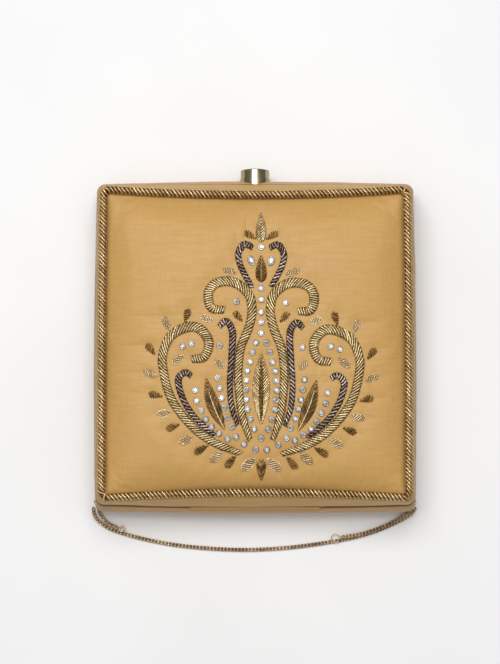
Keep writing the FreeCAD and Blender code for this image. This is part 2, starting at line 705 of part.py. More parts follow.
def route_wire(route):
    """Straight runs joined by tangent arcs, each arc as large as its two runs allow."""
    edges, radii, start = [], [], route[0]
    for before, at, after in zip(route, route[1:], route[2:]):
        towards, onwards = (at - before), (after - at)
        shorter = min(towards.Length, onwards.Length)
        half_turn = towards.getAngle(onwards) / 2
        back = 0.45 * shorter
        radii.append(back / tan(half_turn))
        into = at - towards.normalize() * back
        out = at + onwards.normalize() * back
        inward = (onwards - towards).normalize()
        centre_gap = radii[-1] / cos(half_turn)
        on_arc = at + inward * (centre_gap - radii[-1])
        edges.append(Part.LineSegment(start, into).toShape())
        edges.append(Part.Arc(into, on_arc, out).toShape())
        start = out
    edges.append(Part.LineSegment(start, route[-1]).toShape())
    return Part.Wire(edges), radii


def chain_tube(name, route):
    path, radii = route_wire(route)
    section = Part.Wire(Part.makeCircle(CHAIN_R, route[0], route[1] - route[0]))
    tube = path.makePipeShell([section], True, True)
    expected = pi * CHAIN_R ** 2 * path.Length
    print(name, "length", round(path.Length, 1), "radii", [round(radius, 1) for radius in radii])
    print(name, "volume over section times length", round(tube.Volume / expected, 4))
    return tube


def end_rings():
    """Small wire rings that close the loose ends of the tails, lying on the main run's edge."""
    return Part.makeCompound([torus(centre, Z_AXIS, radius, wire) for centre, radius, wire in END_RINGS])


def main():
    os.makedirs("parts", exist_ok=True)
    save("back_cover", back_cover())
    save("back_padding", back_padding())
    save("back_board", back_board())
    save("back_lining", back_lining())
    save("back_frame", back_frame())
    save("hinge_knuckles_back", knuckles(0))
    save("hinge_pin", hinge_pin())
    save("back_rivets", rivets(back_rivet_places()))
    save("lock_collar", lock_collar())
    save("lock_housing", lock_housing())
    save("housing_bracket", housing_bracket())
    save("chain_lugs", both_sides(chain_lug()))
    save("corner_rings", both_sides(corner_ring()))
    save("chain_main", chain_tube("chain_main", CHAIN_MAIN))
    save("chain_tail_right", chain_tube("chain_tail_right", CHAIN_TAIL_RIGHT))
    save("chain_tail_left", chain_tube("chain_tail_left", CHAIN_TAIL_LEFT))
    save("chain_end_rings", end_rings())
    save("push_knob", push_knob())
    save("latch_slide", latch_slide())
    save("knob_spring", knob_spring())
    save("lid_cover", lid_cover())
    save("hinge_cover", hinge_cover())
    save("lid_padding", lid_padding())
    save("lid_board", lid_board())
    save("lid_lining", lid_lining())
    save("lid_frame", lid_frame())
    save("hinge_knuckles_lid", knuckles(1))
    save("lid_catch", lid_catch())
    save("lid_rivets", rivets(lid_rivet_places()))
    save("border_cord", border_cord())
    save("gold_scrolls", scrolls([CENTRAL_SCROLL, OUTER_SCROLL], GOLD_SCROLL_WIDTH))
    save("dark_scrolls", scrolls([HOOK_SCROLL, INNER_DARK_SCROLL, OUTER_DARK_SCROLL], DARK_SCROLL_WIDTH))
    save("light_leaves", leaves(LIGHT_LEAVES, [TOP_LEAF]))
    save("bronze_leaves", leaves(BRONZE_LEAVES, [UPPER_BRONZE_LEAF, BOTTOM_BRONZE_LEAF]))
    save("centre_leaf", leaves([], [CENTRE_LEAF]))
    save("round_stones", round_stones())
    save("oval_stones", oval_stones())


main()
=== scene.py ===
import random
from math import cos, pi, radians, sin, tan

import bmesh
import bpy
import numpy as np
from mathutils import Matrix, Vector, noise
from mathutils.bvhtree import BVHTree


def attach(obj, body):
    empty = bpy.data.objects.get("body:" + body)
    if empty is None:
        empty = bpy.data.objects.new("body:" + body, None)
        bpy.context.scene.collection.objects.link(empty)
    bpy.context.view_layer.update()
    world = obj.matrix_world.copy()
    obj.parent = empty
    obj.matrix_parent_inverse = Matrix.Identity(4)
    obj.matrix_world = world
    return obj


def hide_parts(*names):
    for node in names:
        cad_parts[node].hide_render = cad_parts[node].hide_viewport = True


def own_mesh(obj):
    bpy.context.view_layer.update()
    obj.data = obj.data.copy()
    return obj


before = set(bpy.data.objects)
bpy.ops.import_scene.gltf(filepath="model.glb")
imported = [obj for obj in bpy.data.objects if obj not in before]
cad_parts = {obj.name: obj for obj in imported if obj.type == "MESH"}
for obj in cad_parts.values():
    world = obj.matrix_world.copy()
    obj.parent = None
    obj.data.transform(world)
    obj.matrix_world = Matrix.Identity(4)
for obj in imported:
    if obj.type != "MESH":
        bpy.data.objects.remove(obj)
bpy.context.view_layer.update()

# A square box clutch lying on its back: X across it, Y from hinge to lock, Z out of the front.
# Shapes are worked out in millimetres, and become metres when a mesh is made.

MM = 0.001
rng = random.Random(11)

BACK_HALF, BACK_SAG, BACK_ROLL, BACK_LEAN = (78.6, 81.3), (1.0, 1.4), 12.0, (1.3, 3.0)
LID_HALF, LID_LEAN, LID_SAG, LEDGE_SAG = (77.2, 78.2), (1.6, 4.5), (0.9, 1.3), (0.3, -2.4)
WIDEST_Z, SEAM_Z, SEAM_GAP, LEDGE_Z, CORNER = 13.0, 22.0, 0.2, 36.4, 4.0
PILLOW_HALF, PILLOW_SAG, PILLOW_RIM_Z, PILLOW_CROWN = (70.9, 69.0), (0.3, -3.0), 37.4, 8.6
PILLOW_SHOULDER, CLOTH_REACH = 1.1, 1.3
NOTCH_HALF_X, NOTCH_HALF_Z, BACK_NOTCH_SPARE = 31.2, 1.45, 1.3
HINGE_Y, HINGE_STRIP_HALF, HINGE_STRIP_RADII = -78.3, 30.9, (1.35, 1.15)
LOCK_HOLE_R = 7.42
SPRING_R, SPRING_WIRE_R, SPRING_TURNS, SPRING_LOW_Y, SPRING_HIGH_Y = 2.9, 0.25, 5, 65.3, 69.85
CORD_HALF, CORD_SAG, CORD_CORNER, CORD_Z, CORD_R = (73.1, 71.2), (0.3, -2.7), 3.0, 38.6, 2.1
COIL_STEP = 0.95
MOTIF_X, MOTIF_SLOPE = 2.8, 0.02
SIDE, BEND = 110, 10

CHAIN_MAIN = [
    (-79.0, -78.6, 5.6), (-79.1, -80.6, 4.4), (-78.5, -82.6, 3.2), (-76.9, -84.9, 1.9),
    (-74.4, -87.0, 1.1), (-71.1, -88.9, 1.0), (-66.6, -90.5, 1.0), (-59.9, -92.5, 1.0),
    (-50.6, -94.7, 1.0), (-38.3, -96.9, 1.0), (-21.1, -98.6, 1.0), (-2.5, -99.2, 1.0),
    (16.1, -98.1, 1.0), (30.9, -96.2, 1.0), (43.7, -94.1, 1.0), (52.9, -92.0, 1.0),
    (59.9, -89.7, 1.0), (65.8, -87.4, 1.0), (70.9, -85.0, 1.2), (75.0, -82.6, 2.3),
    (77.5, -80.5, 4.0), (78.4, -78.8, 5.6),
]
CHAIN_TAIL_RIGHT = [
    (76.1, -79.0, 5.2), (74.0, -81.2, 3.9), (70.9, -83.6, 3.2), (65.8, -86.4, 3.1),
    (60.1, -88.8, 3.15), (53.4, -91.1, 3.1), (47.0, -92.3, 3.0), (42.5, -92.8, 2.85),
]
CHAIN_TAIL_LEFT = [
    (-76.4, -79.0, 5.3), (-76.0, -81.3, 4.1), (-74.8, -83.5, 3.2), (-72.8, -85.5, 2.8),
    (-70.2, -87.1, 2.55), (-67.6, -88.1, 2.1),
]
LINK_PITCH = 1.7
WINDING = 0.3

GOLD_WIDTH, DARK_WIDTH = 4.5, 3.1
CENTRAL_SCROLL = [
    (17.5, 14.4), (23.6, 15.3), (25.0, 22.4), (21.0, 27.2), (13.1, 27.7), (6.1, 22.4), (4.3, 14.4),
    (6.1, 5.6), (9.6, -3.2), (10.9, -14.6), (10.4, -25.1), (8.7, -36.5), (5.2, -46.9),
]
OUTER_SCROLL = [
    (33.0, -9.3), (26.9, -8.0), (24.8, -1.0), (29.0, 5.2), (35.5, 5.7), (43.0, 1.3), (46.7, -8.0),
    (45.7, -18.0), (42.6, -27.8), (36.7, -36.5), (28.8, -44.3), (19.6, -49.6), (9.6, -53.3),
]
HOOK_SCROLL = [(4.0, 44.6), (7.9, 46.2), (10.9, 41.6), (9.9, 36.0), (7.5, 30.9), (4.4, 25.5)]
INNER_DARK_SCROLL = [
    (19.9, 6.5), (16.6, 9.2), (13.6, 3.9), (14.0, -7.5), (14.8, -20.7), (13.9, -31.2), (11.0, -40.2),
]
OUTER_DARK_SCROLL = [
    (33.0, -17.2), (36.1, -15.5), (39.2, -19.4), (37.1, -27.8), (32.3, -35.6), (26.2, -41.6),
    (21.6, -45.2),
]
# Share of the way along a scroll, and the angle there between its stitches and its run.
SLANT = ([0.0, 0.1, 0.18, 0.27, 0.36, 0.46, 0.6, 1.0], [112, 82, 62, 42, 33, 38, 44, 44])

# Each leaf: x and y of its middle, its length, its width, and the direction of its outer end.
LIGHT_LEAVES = [
    (15.0, 33.1, 6.8, 3.2, 20), (39.4, -9.5, 6.8, 3.2, -40), (19.8, -11.2, 5.8, 2.8, 45),
    (21.3, -55.0, 7.4, 3.5, -42), (35.7, -47.5, 7.2, 3.4, -25), (45.9, -35.1, 7.0, 3.3, -9),
    (52.5, -16.3, 7.0, 3.2, 25), (45.0, 7.9, 6.8, 3.1, 72), (25.8, 10.2, 6.2, 3.0, 18),
    (6.0, -58.2, 8.6, 4.2, -39),
]
BRONZE_LEAVES = [
    (5.2, 50.6, 7.2, 3.4, 32), (10.8, 11.4, 6.6, 3.3, 52), (14.4, -57.1, 8.4, 3.6, -50),
    (28.3, -51.6, 7.8, 3.6, -30), (41.8, -41.4, 7.2, 3.5, -20), (49.9, -26.5, 7.2, 3.5, 14),
    (52.3, -4.8, 7.0, 3.5, 54), (35.2, 11.5, 7.2, 3.5, 107),
]
TOP_LEAF = (0.0, 55.0, 14.6, 5.2, 90)
UPPER_BRONZE_LEAF = (0.0, 34.8, 13.0, 5.4, 90)
BOTTOM_BRONZE_LEAF = (0.0, -60.4, 10.4, 4.6, 90)
LONG_LEAF = (21.7, -29.8, 25.6, 6.4, 70)
CENTRE_LEAF = (0.0, -22.3, 34.2, 8.6, 90)
CENTRE_STRIP = (0.0, -22.6, 30.0, 2.6, 90)
# Where a leaf is widest, from its inner end at -1 to its outer end at 1, and how blunt each end is.
DROP, OVAL, POINTED = (0.3, 3.4, 1.6), (0.1, 3.0, 2.8), (0, 1.9, 1.9)
HEAVY_FOOT, HEAVY_HEAD = (-0.35, 1.8, 3.0), (0.35, 2.6, 1.6)
STONE_COLUMN = [44.8, 25.0, 19.7, 13.7, 8.9, 3.7, -45.8]
STONE_PAIRS = [
    (2.4, -0.9), (4.1, -5.3), (5.3, -10.0), (6.6, -14.2), (7.0, -18.8), (7.2, -23.2), (6.9, -27.8),
    (6.4, -32.3), (5.0, -37.0), (3.3, -41.6),
    (20.4, -17.9), (19.6, -22.7), (18.7, -27.4), (17.5, -31.8), (16.1, -36.5), (13.9, -40.8),
    (11.9, -45.5), (8.1, -48.8), (2.6, -51.2),
    (31.2, -23.9), (30.4, -29.0), (28.3, -33.5), (26.1, -37.5), (23.4, -41.0), (19.9, -44.0),
    (15.9, -46.6),
    (11.7, 18.5), (19.6, -2.6), (32.9, -1.9), (37.1, -3.2),
]
OVAL_STONE = (4.8, 38.3)


# Meshes


def add_object(name, data):
    obj = bpy.data.objects.new(name, data)
    bpy.context.scene.collection.objects.link(obj)
    return obj


def mesh_piece(name, points, faces, material, body, smooth=True):
    """A mesh from points in millimetres, with its material, riding on a body."""
    mesh = bpy.data.meshes.new(name)
    faces = faces if isinstance(faces, list) else faces.tolist()
    mesh.from_pydata((np.asarray(points, float) * MM).tolist(), [], faces)
    mesh.update()
    if smooth:
        mesh.shade_smooth()
    mesh.materials.append(material)
    obj = add_object(name, mesh)
    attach(obj, body)
    return obj


def store(obj, name, values, domain="POINT"):
    values = np.asarray(values, np.float32).ravel()
    layer = obj.data.attributes.new(name, "FLOAT", domain)
    layer.data.foreach_set("value", values)


def grid_faces(rows, columns, closed):
    """Quads of a grid of points, its columns joined end to end where it is closed."""
    row = np.arange(rows - 1)[:, None]
    column = np.arange(columns if closed else columns - 1)[None, :]
    onward = (column + 1) % columns
    quads = [row * columns + column, row * columns + onward]
    quads += [(row + 1) * columns + onward, (row + 1) * columns + column]
    return np.stack(quads, axis=-1).reshape(-1, 4)


def unit(vectors):
    return vectors / np.maximum(np.linalg.norm(vectors, axis=-1, keepdims=True), 1e-9)


def running_length(points):
    """Distance along a line of points, from its start to each of them."""
    return np.concatenate([[0], np.cumsum(np.linalg.norm(np.diff(points, axis=0), axis=1))])


def places_at(at, lengths, points):
    return np.stack([np.interp(at, lengths, column) for column in points.T], axis=1)


def stand_in(node):
    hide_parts(node)


def tubes(lines, radii, sides, ups=(0.0, 0.0, 1.0), closed=False):
    """Points, faces and running length of one round tube along each line."""
    lines = np.asarray(lines, float)
    count, steps, _ = lines.shape
    if closed:
        along = np.roll(lines, -1, axis=1) - np.roll(lines, 1, axis=1)
    else:
        along = np.gradient(lines, axis=1)
    along = unit(along)
    side = unit(np.cross(along, np.broadcast_to(np.asarray(ups, float), lines.shape)))
    rise = np.cross(side, along)
    turn = 2 * pi * np.arange(sides) / sides
    ring = side[:, :, None, :] * np.cos(turn)[:, None] + rise[:, :, None, :] * np.sin(turn)[:, None]
    radii = np.broadcast_to(np.asarray(radii, float), (count, steps))
    points = lines[:, :, None, :] + ring * radii[:, :, None, None]
    step = np.linalg.norm(np.diff(lines, axis=1), axis=2)
    run = np.concatenate([np.zeros((count, 1)), np.cumsum(step, axis=1)], axis=1)
    level = np.arange(steps if closed else steps - 1)[:, None]
    base, after = level * sides, (level + 1) % steps * sides
    here, onward = np.arange(sides)[None, :], (np.arange(sides)[None, :] + 1) % sides
    one = np.stack([base + here, base + onward, after + onward, after + here], axis=-1).reshape(-1, 4)
    faces = (one[None] + np.arange(count)[:, None, None] * steps * sides).reshape(-1, 4)
    return points.reshape(-1, 3), faces, np.repeat(run.ravel(), sides)


def tube_piece(name, lines, radii, sides, material, body, tones=None, **options):
    """One mesh of many tubes, each with its own tone and its running length stored on it."""
    lines = np.asarray(lines, float)
    points, faces, run = tubes(lines, radii, sides, **options)
    obj = mesh_piece(name, points, faces, material, body)
    if tones is None:
        tones = [rng.random() for _ in lines]
    store(obj, "run", run)
    store(obj, "tone", np.repeat(tones, lines.shape[1] * sides))
    return obj


def outline(half, sag, corner, z):
    """Closed ring of points: four slightly curved sides joined round their corners."""
    x, y = half[0] - corner, half[1] - corner
    for _ in range(8):
        x = half[0] - corner - sag[0] * (y / half[1]) ** 2
        y = half[1] - corner - sag[1] * (x / half[0]) ** 2
    up, back = np.linspace(-y, y, SIDE, endpoint=False), np.linspace(x, -x, SIDE, endpoint=False)
    bend = np.linspace(0, pi / 2, BEND, endpoint=False)
    right = np.stack([half[0] - sag[0] * (up / half[1]) ** 2, up], axis=1)
    turn_right = np.stack([x + corner * np.cos(bend), y + corner * np.sin(bend)], axis=1)
    top = np.stack([back, half[1] - sag[1] * (back / half[0]) ** 2], axis=1)
    turn_left = np.stack([-x - corner * np.sin(bend), y + corner * np.cos(bend)], axis=1)
    half_way = np.concatenate([right, turn_right, top, turn_left])
    ring = np.concatenate([half_way, -half_way])
    return np.column_stack([ring, np.full(len(ring), float(z))])


def inset(pair, amount):
    return pair[0] - amount, pair[1] - amount


def loft_piece(name, rings, material, body, cap=False):
    count = len(rings[0])
    points = np.concatenate(rings)
    faces = grid_faces(len(rings), count, True).tolist()
    if cap:
        faces.append(list(range((len(rings) - 1) * count, len(rings) * count)))
    return mesh_piece(name, points, faces, material, body)


# Materials


def material_of(name, sockets):
    material = bpy.data.materials.new(name)
    material.use_nodes = True
    shader = material.node_tree.nodes["Principled BSDF"]
    for socket, value in sockets.items():
        shader.inputs[socket].default_value = value
    return material, material.node_tree, shader


def feed(socket, value):
    """Links an input to a node's output, or else sets it to a constant."""
    if isinstance(value, bpy.types.NodeSocket):
        socket.id_data.links.new(value, socket)
    else:
        socket.default_value = value


def add(tree, kind, inputs=None, **settings):
    node = tree.nodes.new(kind)
    for name, value in settings.items():
        setattr(node, name, value)
    for socket, value in (inputs or {}).items():
        feed(node.inputs[socket], value)
    return node


def stretched(tree, scale):
    place = add(tree, "ShaderNodeTexCoord").outputs["Object"]
    return add(tree, "ShaderNodeMapping", {"Vector": place, "Scale": scale}).outputs["Vector"]


def speckle(tree, scale, detail=3.0, rough=0.5):
    """Noise whose grains are 1 / scale metres long on each axis."""
    inputs = {"Vector": stretched(tree, scale), "Scale": 1.0, "Detail": detail, "Roughness": rough}
    return add(tree, "ShaderNodeTexNoise", inputs).outputs["Fac"]


def ramp(tree, factor, stops):
    node = add(tree, "ShaderNodeValToRGB", {"Fac": factor})
    elements = node.color_ramp.elements
    while len(elements) < len(stops):
        elements.new(0.5)
    for element, (position, colour) in zip(elements, stops):
        element.position = position
        element.color = (*colour, 1.0) if len(colour) == 3 else (colour[0],) * 3 + (1.0,)
    return node.outputs["Color"]


def mix(tree, factor, first, second, blend="MIX"):
    inputs = {0: factor, 6: first, 7: second}
    return add(tree, "ShaderNodeMix", inputs, data_type="RGBA", blend_type=blend).outputs[2]


def combine(tree, operation, first, second):
    return add(tree, "ShaderNodeMath", {0: first, 1: second}, operation=operation).outputs[0]


def attribute(tree, name):
    return add(tree, "ShaderNodeAttribute", attribute_name=name).outputs["Fac"]


def bump(tree, shader, height, distance, strength=1.0, before=None):
    inputs = {"Height": height, "Distance": distance, "Strength": strength}
    if before is not None:
        inputs["Normal"] = before
    normal = add(tree, "ShaderNodeBump", inputs).outputs["Normal"]
    feed(shader.inputs["Normal"], normal)
    return normal


def waves(tree, direction, scale):
    inputs = {"Vector": stretched(tree, (1, 1, 1)), "Scale": scale}
    return add(tree, "ShaderNodeTexWave", inputs, bands_direction=direction).outputs["Fac"]


def silk(name, colour, blush):
    """Slubbed plain-weave silk whose thick threads run across the bag."""
    sockets = {"Roughness": 0.5, "Sheen Weight": 0.12, "Sheen Roughness": 0.4,
               "Sheen Tint": (1.0, 0.84, 0.6, 1.0), "Specular IOR Level": 0.3}
    material, tree, shader = material_of(name, sockets)
    slubs = speckle(tree, (70, 900, 500), 4.0, 0.6)
    cross_slubs = speckle(tree, (1100, 90, 400), 3.0, 0.55)
    cloud = speckle(tree, (28, 36, 36), 3.0, 0.6)
    deep, bright = (tuple(part * share for part in colour) for share in (0.94, 1.04))
    threads = ramp(tree, slubs, [(0.3, deep), (0.52, colour), (0.74, bright)])
    warp = ramp(tree, cross_slubs, [(0.36, (0.96,)), (0.6, (1.0,))])
    woven = mix(tree, 1.0, threads, warp, "MULTIPLY")
    patches = ramp(tree, cloud, [(0.46, (0.0,)), (0.72, (0.4,))])
    cloth = mix(tree, patches, woven, (*blush, 1.0))
    # Painted shade: the cloth is mixed towards dark brown by the share stored on the mesh, for the shadow
    # along the seam and on the flanks.
    cloth_with_painted_shade = mix(tree, attribute(tree, "painted_shade"), cloth, (0.10, 0.05, 0.02, 1.0))
    feed(shader.inputs["Base Color"], cloth_with_painted_shade)
    feed(shader.inputs["Roughness"], ramp(tree, slubs, [(0.3, (0.56,)), (0.7, (0.42,))]))
    weave = combine(tree, "MULTIPLY", waves(tree, "X", 820), waves(tree, "Y", 820))
    fine = bump(tree, shader, weave, 0.00004, 0.4)
    bump(tree, shader, combine(tree, "ADD", slubs, cross_slubs), 0.00005, 0.5, before=fine)
    return material


def thread(name, bright, dull, roughness):
    """Metal-wrapped thread: each length has its own tone, and fine windings run round it."""
    sockets = {"Metallic": 0.85, "Roughness": roughness, "Specular IOR Level": 0.7}
    material, tree, shader = material_of(name, sockets)
    tone = attribute(tree, "tone")
    mottle = speckle(tree, (900, 900, 900), 2.0)
    middling = tuple((a + b) / 2 for a, b in zip(bright, dull))
    base = ramp(tree, tone, [(0.0, dull), (0.55, middling), (1.0, bright)])
    worn = ramp(tree, mottle, [(0.3, (0.7,)), (0.65, (1.08,))])
    feed(shader.inputs["Base Color"], mix(tree, 1.0, base, worn, "MULTIPLY"))
    turns = combine(tree, "SINE", combine(tree, "MULTIPLY", attribute(tree, "run"), 2 * pi / WINDING), 0.0)
    bump(tree, shader, turns, 0.000045, 0.4)
    return material


def metal(name, colour, dark, roughness, grain=(500, 500, 500)):
    material, tree, shader = material_of(name, {"Metallic": 1.0, "Roughness": roughness})
    patina = speckle(tree, (160, 160, 160), 4.0, 0.6)
    scratches = speckle(tree, grain, 3.0, 0.6)
    feed(shader.inputs["Base Color"], ramp(tree, patina, [(0.38, dark), (0.62, colour)]))
    low, high = max(0.05, roughness - 0.08), roughness + 0.12
    feed(shader.inputs["Roughness"], ramp(tree, scratches, [(0.35, (low,)), (0.7, (high,))]))
    bump(tree, shader, scratches, 0.00003, 0.4)
    return material


def crystal(name):
    """Foil-backed glass with painted reflections: each facet's colour is set from its own brightness, with a
    painted tint of fire over it.
    """
    sockets = {"Metallic": 0.3, "Roughness": 0.07, "Coat Weight": 1.0, "Coat Roughness": 0.03,
               "Specular IOR Level": 1.0}
    material, tree, shader = material_of(name, sockets)
    facet = attribute(tree, "tone")
    stops = [(0.0, (0.07, 0.075, 0.08)), (0.25, (0.24, 0.25, 0.26)),
             (0.55, (0.62, 0.63, 0.63)), (1.0, (1.0, 0.98, 0.95))]
    painted_fire = speckle(tree, (700, 700, 700), 1.0)
    tint = ramp(tree, painted_fire, [(0.35, (0.9, 0.93, 1.0)), (0.5, (1.0, 1.0, 1.0)), (0.65, (1.0, 0.93, 0.9))])
    feed(shader.inputs["Base Color"], mix(tree, 1.0, ramp(tree, facet, stops), tint, "MULTIPLY"))
    return material


def plain_cloth(name, colour, dark, roughness, sheen):
    material, tree, shader = material_of(name, {"Roughness": roughness, "Sheen Weight": sheen})
    slubs = speckle(tree, (60, 1100, 500), 3.0)
    cloud = speckle(tree, (30, 30, 30), 2.0)
    tone = combine(tree, "ADD", combine(tree, "MULTIPLY", slubs, 0.6), combine(tree, "MULTIPLY", cloud, 0.4))
    feed(shader.inputs["Base Color"], ramp(tree, tone, [(0.35, dark), (0.65, colour)]))
    weave = combine(tree, "MULTIPLY", waves(tree, "X", 900), waves(tree, "Y", 900))
    fine = bump(tree, shader, weave, 0.00004, 0.4)
    bump(tree, shader, slubs, 0.0001, 0.5, before=fine)
    return material


def pulp(name, colour, dark):
    """Pressed grey board, or open foam: matt, flecked and slightly pitted."""
    material, tree, shader = material_of(name, {"Roughness": 0.9})
    flecks = speckle(tree, (900, 900, 900), 5.0, 0.7)
    feed(shader.inputs["Base Color"], ramp(tree, flecks, [(0.35, dark), (0.6, colour)]))
    bump(tree, shader, flecks, 0.0002, 0.6)
    return material


SILK = silk("silk_gold", (0.56, 0.328, 0.10), (0.56, 0.30, 0.12))
SILK_SIDES = silk("silk_gold_sides", (0.56, 0.325, 0.13), (0.52, 0.285, 0.14))
GOLD = thread("thread_gold", (0.95, 0.77, 0.45), (0.56, 0.40, 0.18), 0.27)
CORD_GOLD = thread("thread_cord_gold", (0.95, 0.72, 0.38), (0.54, 0.36, 0.15), 0.27)
CORD_DARK = thread("thread_cord_dark", (0.26, 0.13, 0.045), (0.13, 0.06, 0.02), 0.4)
GUNMETAL = thread("thread_gunmetal", (0.70, 0.58, 0.50), (0.16, 0.105, 0.08), 0.2)
BRONZE_THREAD = thread("thread_bronze", (0.46, 0.265, 0.07), (0.10, 0.05, 0.014), 0.34)
LIGHT_THREAD = thread("thread_light", (0.92, 0.78, 0.50), (0.52, 0.37, 0.19), 0.3)
# The padding cores' dark brown is partly their own colour and partly painted shade for the gaps between the
# coils.
CORE = thread("thread_core", (0.20, 0.125, 0.035), (0.12, 0.07, 0.02), 0.6)
DARK_CORE = thread("thread_dark_core", (0.07, 0.035, 0.02), (0.035, 0.018, 0.01), 0.6)
CRYSTAL = crystal("crystal")
SETTING = metal("setting_silver", (0.42, 0.40, 0.37), (0.22, 0.21, 0.19), 0.25)
CHAIN_METAL = metal("chain_bronze", (0.62, 0.47, 0.30), (0.34, 0.24, 0.14), 0.28)
BRONZE = metal("lug_bronze", (0.36, 0.27, 0.17), (0.14, 0.10, 0.06), 0.32)
BRASS = metal("knob_brass", (0.42, 0.35, 0.22), (0.32, 0.26, 0.15), 0.1, (60, 2500, 60))
FRAME_METAL = metal("frame_metal", (0.56, 0.42, 0.22), (0.44, 0.32, 0.16), 0.3)
STEEL = metal("steel", (0.62, 0.61, 0.60), (0.36, 0.35, 0.34), 0.28, (200, 1600, 1600))
LINING = plain_cloth("lining_satin", (0.33, 0.2, 0.085), (0.27, 0.16, 0.068), 0.42, 0.2)
BOARD = pulp("board_grey", (0.34, 0.29, 0.22), (0.2, 0.17, 0.13))
FOAM = pulp("foam_cream", (0.72, 0.65, 0.48), (0.5, 0.44, 0.32))


# Camera, straight down but for five degrees


def make_camera():
    target, distance, elevation = Vector((-2.5, 6.4, 22.0)) * MM, 1.0, radians(85)
    data = bpy.data.cameras.new("camera")
    data.sensor_fit, data.sensor_width, data.lens = "HORIZONTAL", 36.0, 148.46
    camera = add_object("camera", data)
    camera.location = target + distance * Vector((0, -cos(elevation), sin(elevation)))
    camera.rotation_euler = (target - camera.location).to_track_quat("-Z", "Y").to_euler()
    bpy.context.scene.camera = camera


make_camera()


# Chain


def smooth_line(route):
    """Points in millimetres along the smooth curve that the route's points steer."""
    data = bpy.data.curves.new("route", "CURVE")
    data.dimensions = "3D"
    spline = data.splines.new("NURBS")
    spline.points.add(len(route) - 1)
    for point, place in zip(spline.points, route):
        point.co = (*(value * MM for value in place), 1.0)
    spline.order_u = 3
    spline.use_endpoint_u = True
    spline.resolution_u = 16
    holder = bpy.data.objects.new("route", data)
    bare = bpy.data.meshes.new_from_object(holder)
    points = np.array([vertex.co[:] for vertex in bare.vertices]) / MM
    bpy.data.objects.remove(holder)
    return points


def chain_links(name, line):
    """Twisted oval links, each through the next, all lying the same way."""
    lengths = running_length(line)
    count = max(2, round(lengths[-1] / LINK_PITCH))
    places = places_at((np.arange(count) + 0.5) * lengths[-1] / count, lengths, line)
    along = unit(np.gradient(places, axis=0))
    side = unit(np.cross(along, (0.0, 0.0, 1.0)))
    rise = np.cross(side, along)
    turn = 2 * pi * np.arange(20) / 20
    reach, width, twist = 1.25 * np.cos(turn), 0.62 * np.sin(turn), radians(45) * np.cos(turn)
    lean = side[:, None, :] * np.cos(twist)[:, None] + rise[:, None, :] * np.sin(twist)[:, None]
    plane = rise[:, None, :] * np.cos(twist)[:, None] - side[:, None, :] * np.sin(twist)[:, None]
    lines = places[:, None, :] + along[:, None, :] * reach[:, None] + lean * width[:, None]
    return tube_piece(name, lines, 0.36, 7, CHAIN_METAL, "root", ups=plane, closed=True)


def end_ring(name, centre, radius, wire):
    """Open wire ring through the last link of a tail."""
    turn = np.linspace(0.25, 2 * pi - 0.1, 40)
    ring = np.stack([radius * np.cos(turn), radius * np.sin(turn), 0.08 * np.cos(turn)], axis=1)
    return tube_piece(name, [ring + centre], wire, 8, CHAIN_METAL, "root")


def make_chain():
    main, right, left = (smooth_line(route) for route in (CHAIN_MAIN, CHAIN_TAIL_RIGHT, CHAIN_TAIL_LEFT))
    chain = chain_links("chain_run", main)
    tail_right = chain_links("chain_tail_links_right", right)
    tail_left = chain_links("chain_tail_links_left", left)
    ring_right = end_ring("end_ring_right", (39.4, -93.4, 2.4), 2.0, 0.2)
    ring_left = end_ring("end_ring_left", (-65.2, -88.8, 2.5), 1.3, 0.38)
    nodes = {"chain_main": [chain], "chain_tail_right": [tail_right], "chain_tail_left": [tail_left],
             "chain_end_rings": [ring_right, ring_left]}
    for node, pieces in nodes.items():
        for piece in pieces:
            stand_in(node)


make_chain()


# Silk of the two halves


def back_ring(z, inner, floor=0.0):
    roll, tuck, lean = BACK_ROLL - inner, 0.0, 0.0
    if z < WIDEST_Z:
        tuck = roll * (1 - max(0.0, 1 - ((WIDEST_Z - z) / (WIDEST_Z - floor)) ** 2) ** 0.5)
    else:
        lean = ((z - WIDEST_Z) / (SEAM_Z - WIDEST_Z)) ** 2
    half = [side - inner - tuck - lean * leaning for side, leaning in zip(BACK_HALF, BACK_LEAN)]
    return outline(half, BACK_SAG, max(CORNER - inner, 1.0) + 0.4 * tuck, z)


def lid_ring(z, inner):
    lean = ((z - SEAM_Z) / (LEDGE_Z - SEAM_Z)) ** 2
    half = [side - inner - lean * leaning for side, leaning in zip(LID_HALF, LID_LEAN)]
    sag = tuple(a + lean * (b - a) for a, b in zip(LID_SAG, LEDGE_SAG))
    return outline(half, sag, max(CORNER - inner, 1.0), z)


def creased(ring, depth, seed):
    """Moves a ring in and out by shallow folds that run round the bag."""
    out = unit(ring[:, :2])
    for index, (x, y, z) in enumerate(ring):
        fold = noise.noise(Vector((x * 0.035, y * 0.035 + seed, z * 0.42)))
        fold += 0.5 * noise.noise(Vector((x * 0.11, y * 0.11 - seed, z * 0.9)))
        ring[index, :2] += out[index] * fold * depth
    return ring


def notched(ring, side):
    """Clears the hinge: the silk stops short of the seam there, over a wider stretch on the back."""
    inside = (np.abs(ring[:, 0]) < NOTCH_HALF_X - min(side, 0) * BACK_NOTCH_SPARE) & (ring[:, 1] < 0)
    limit = SEAM_Z + side * NOTCH_HALF_Z
    ring[inside, 2] = np.minimum(ring[inside, 2], limit) if side < 0 else np.maximum(ring[inside, 2], limit)
    return ring


def painted_shade_share(rings, dark_z, unshaded_z):
    """How much painted shade darkens the silk at each point of the rings: most along the seam, for the shadow
    in its crevice, and a little on the flanks, for their lower light.
    """
    points = np.concatenate(rings)
    seam = 0.8 * np.clip((points[:, 2] - unshaded_z) / (dark_z - unshaded_z), 0, 1)
    return np.maximum(seam, 0.3 * np.minimum(np.abs(points[:, 0] / 76.5) ** 14, 1))


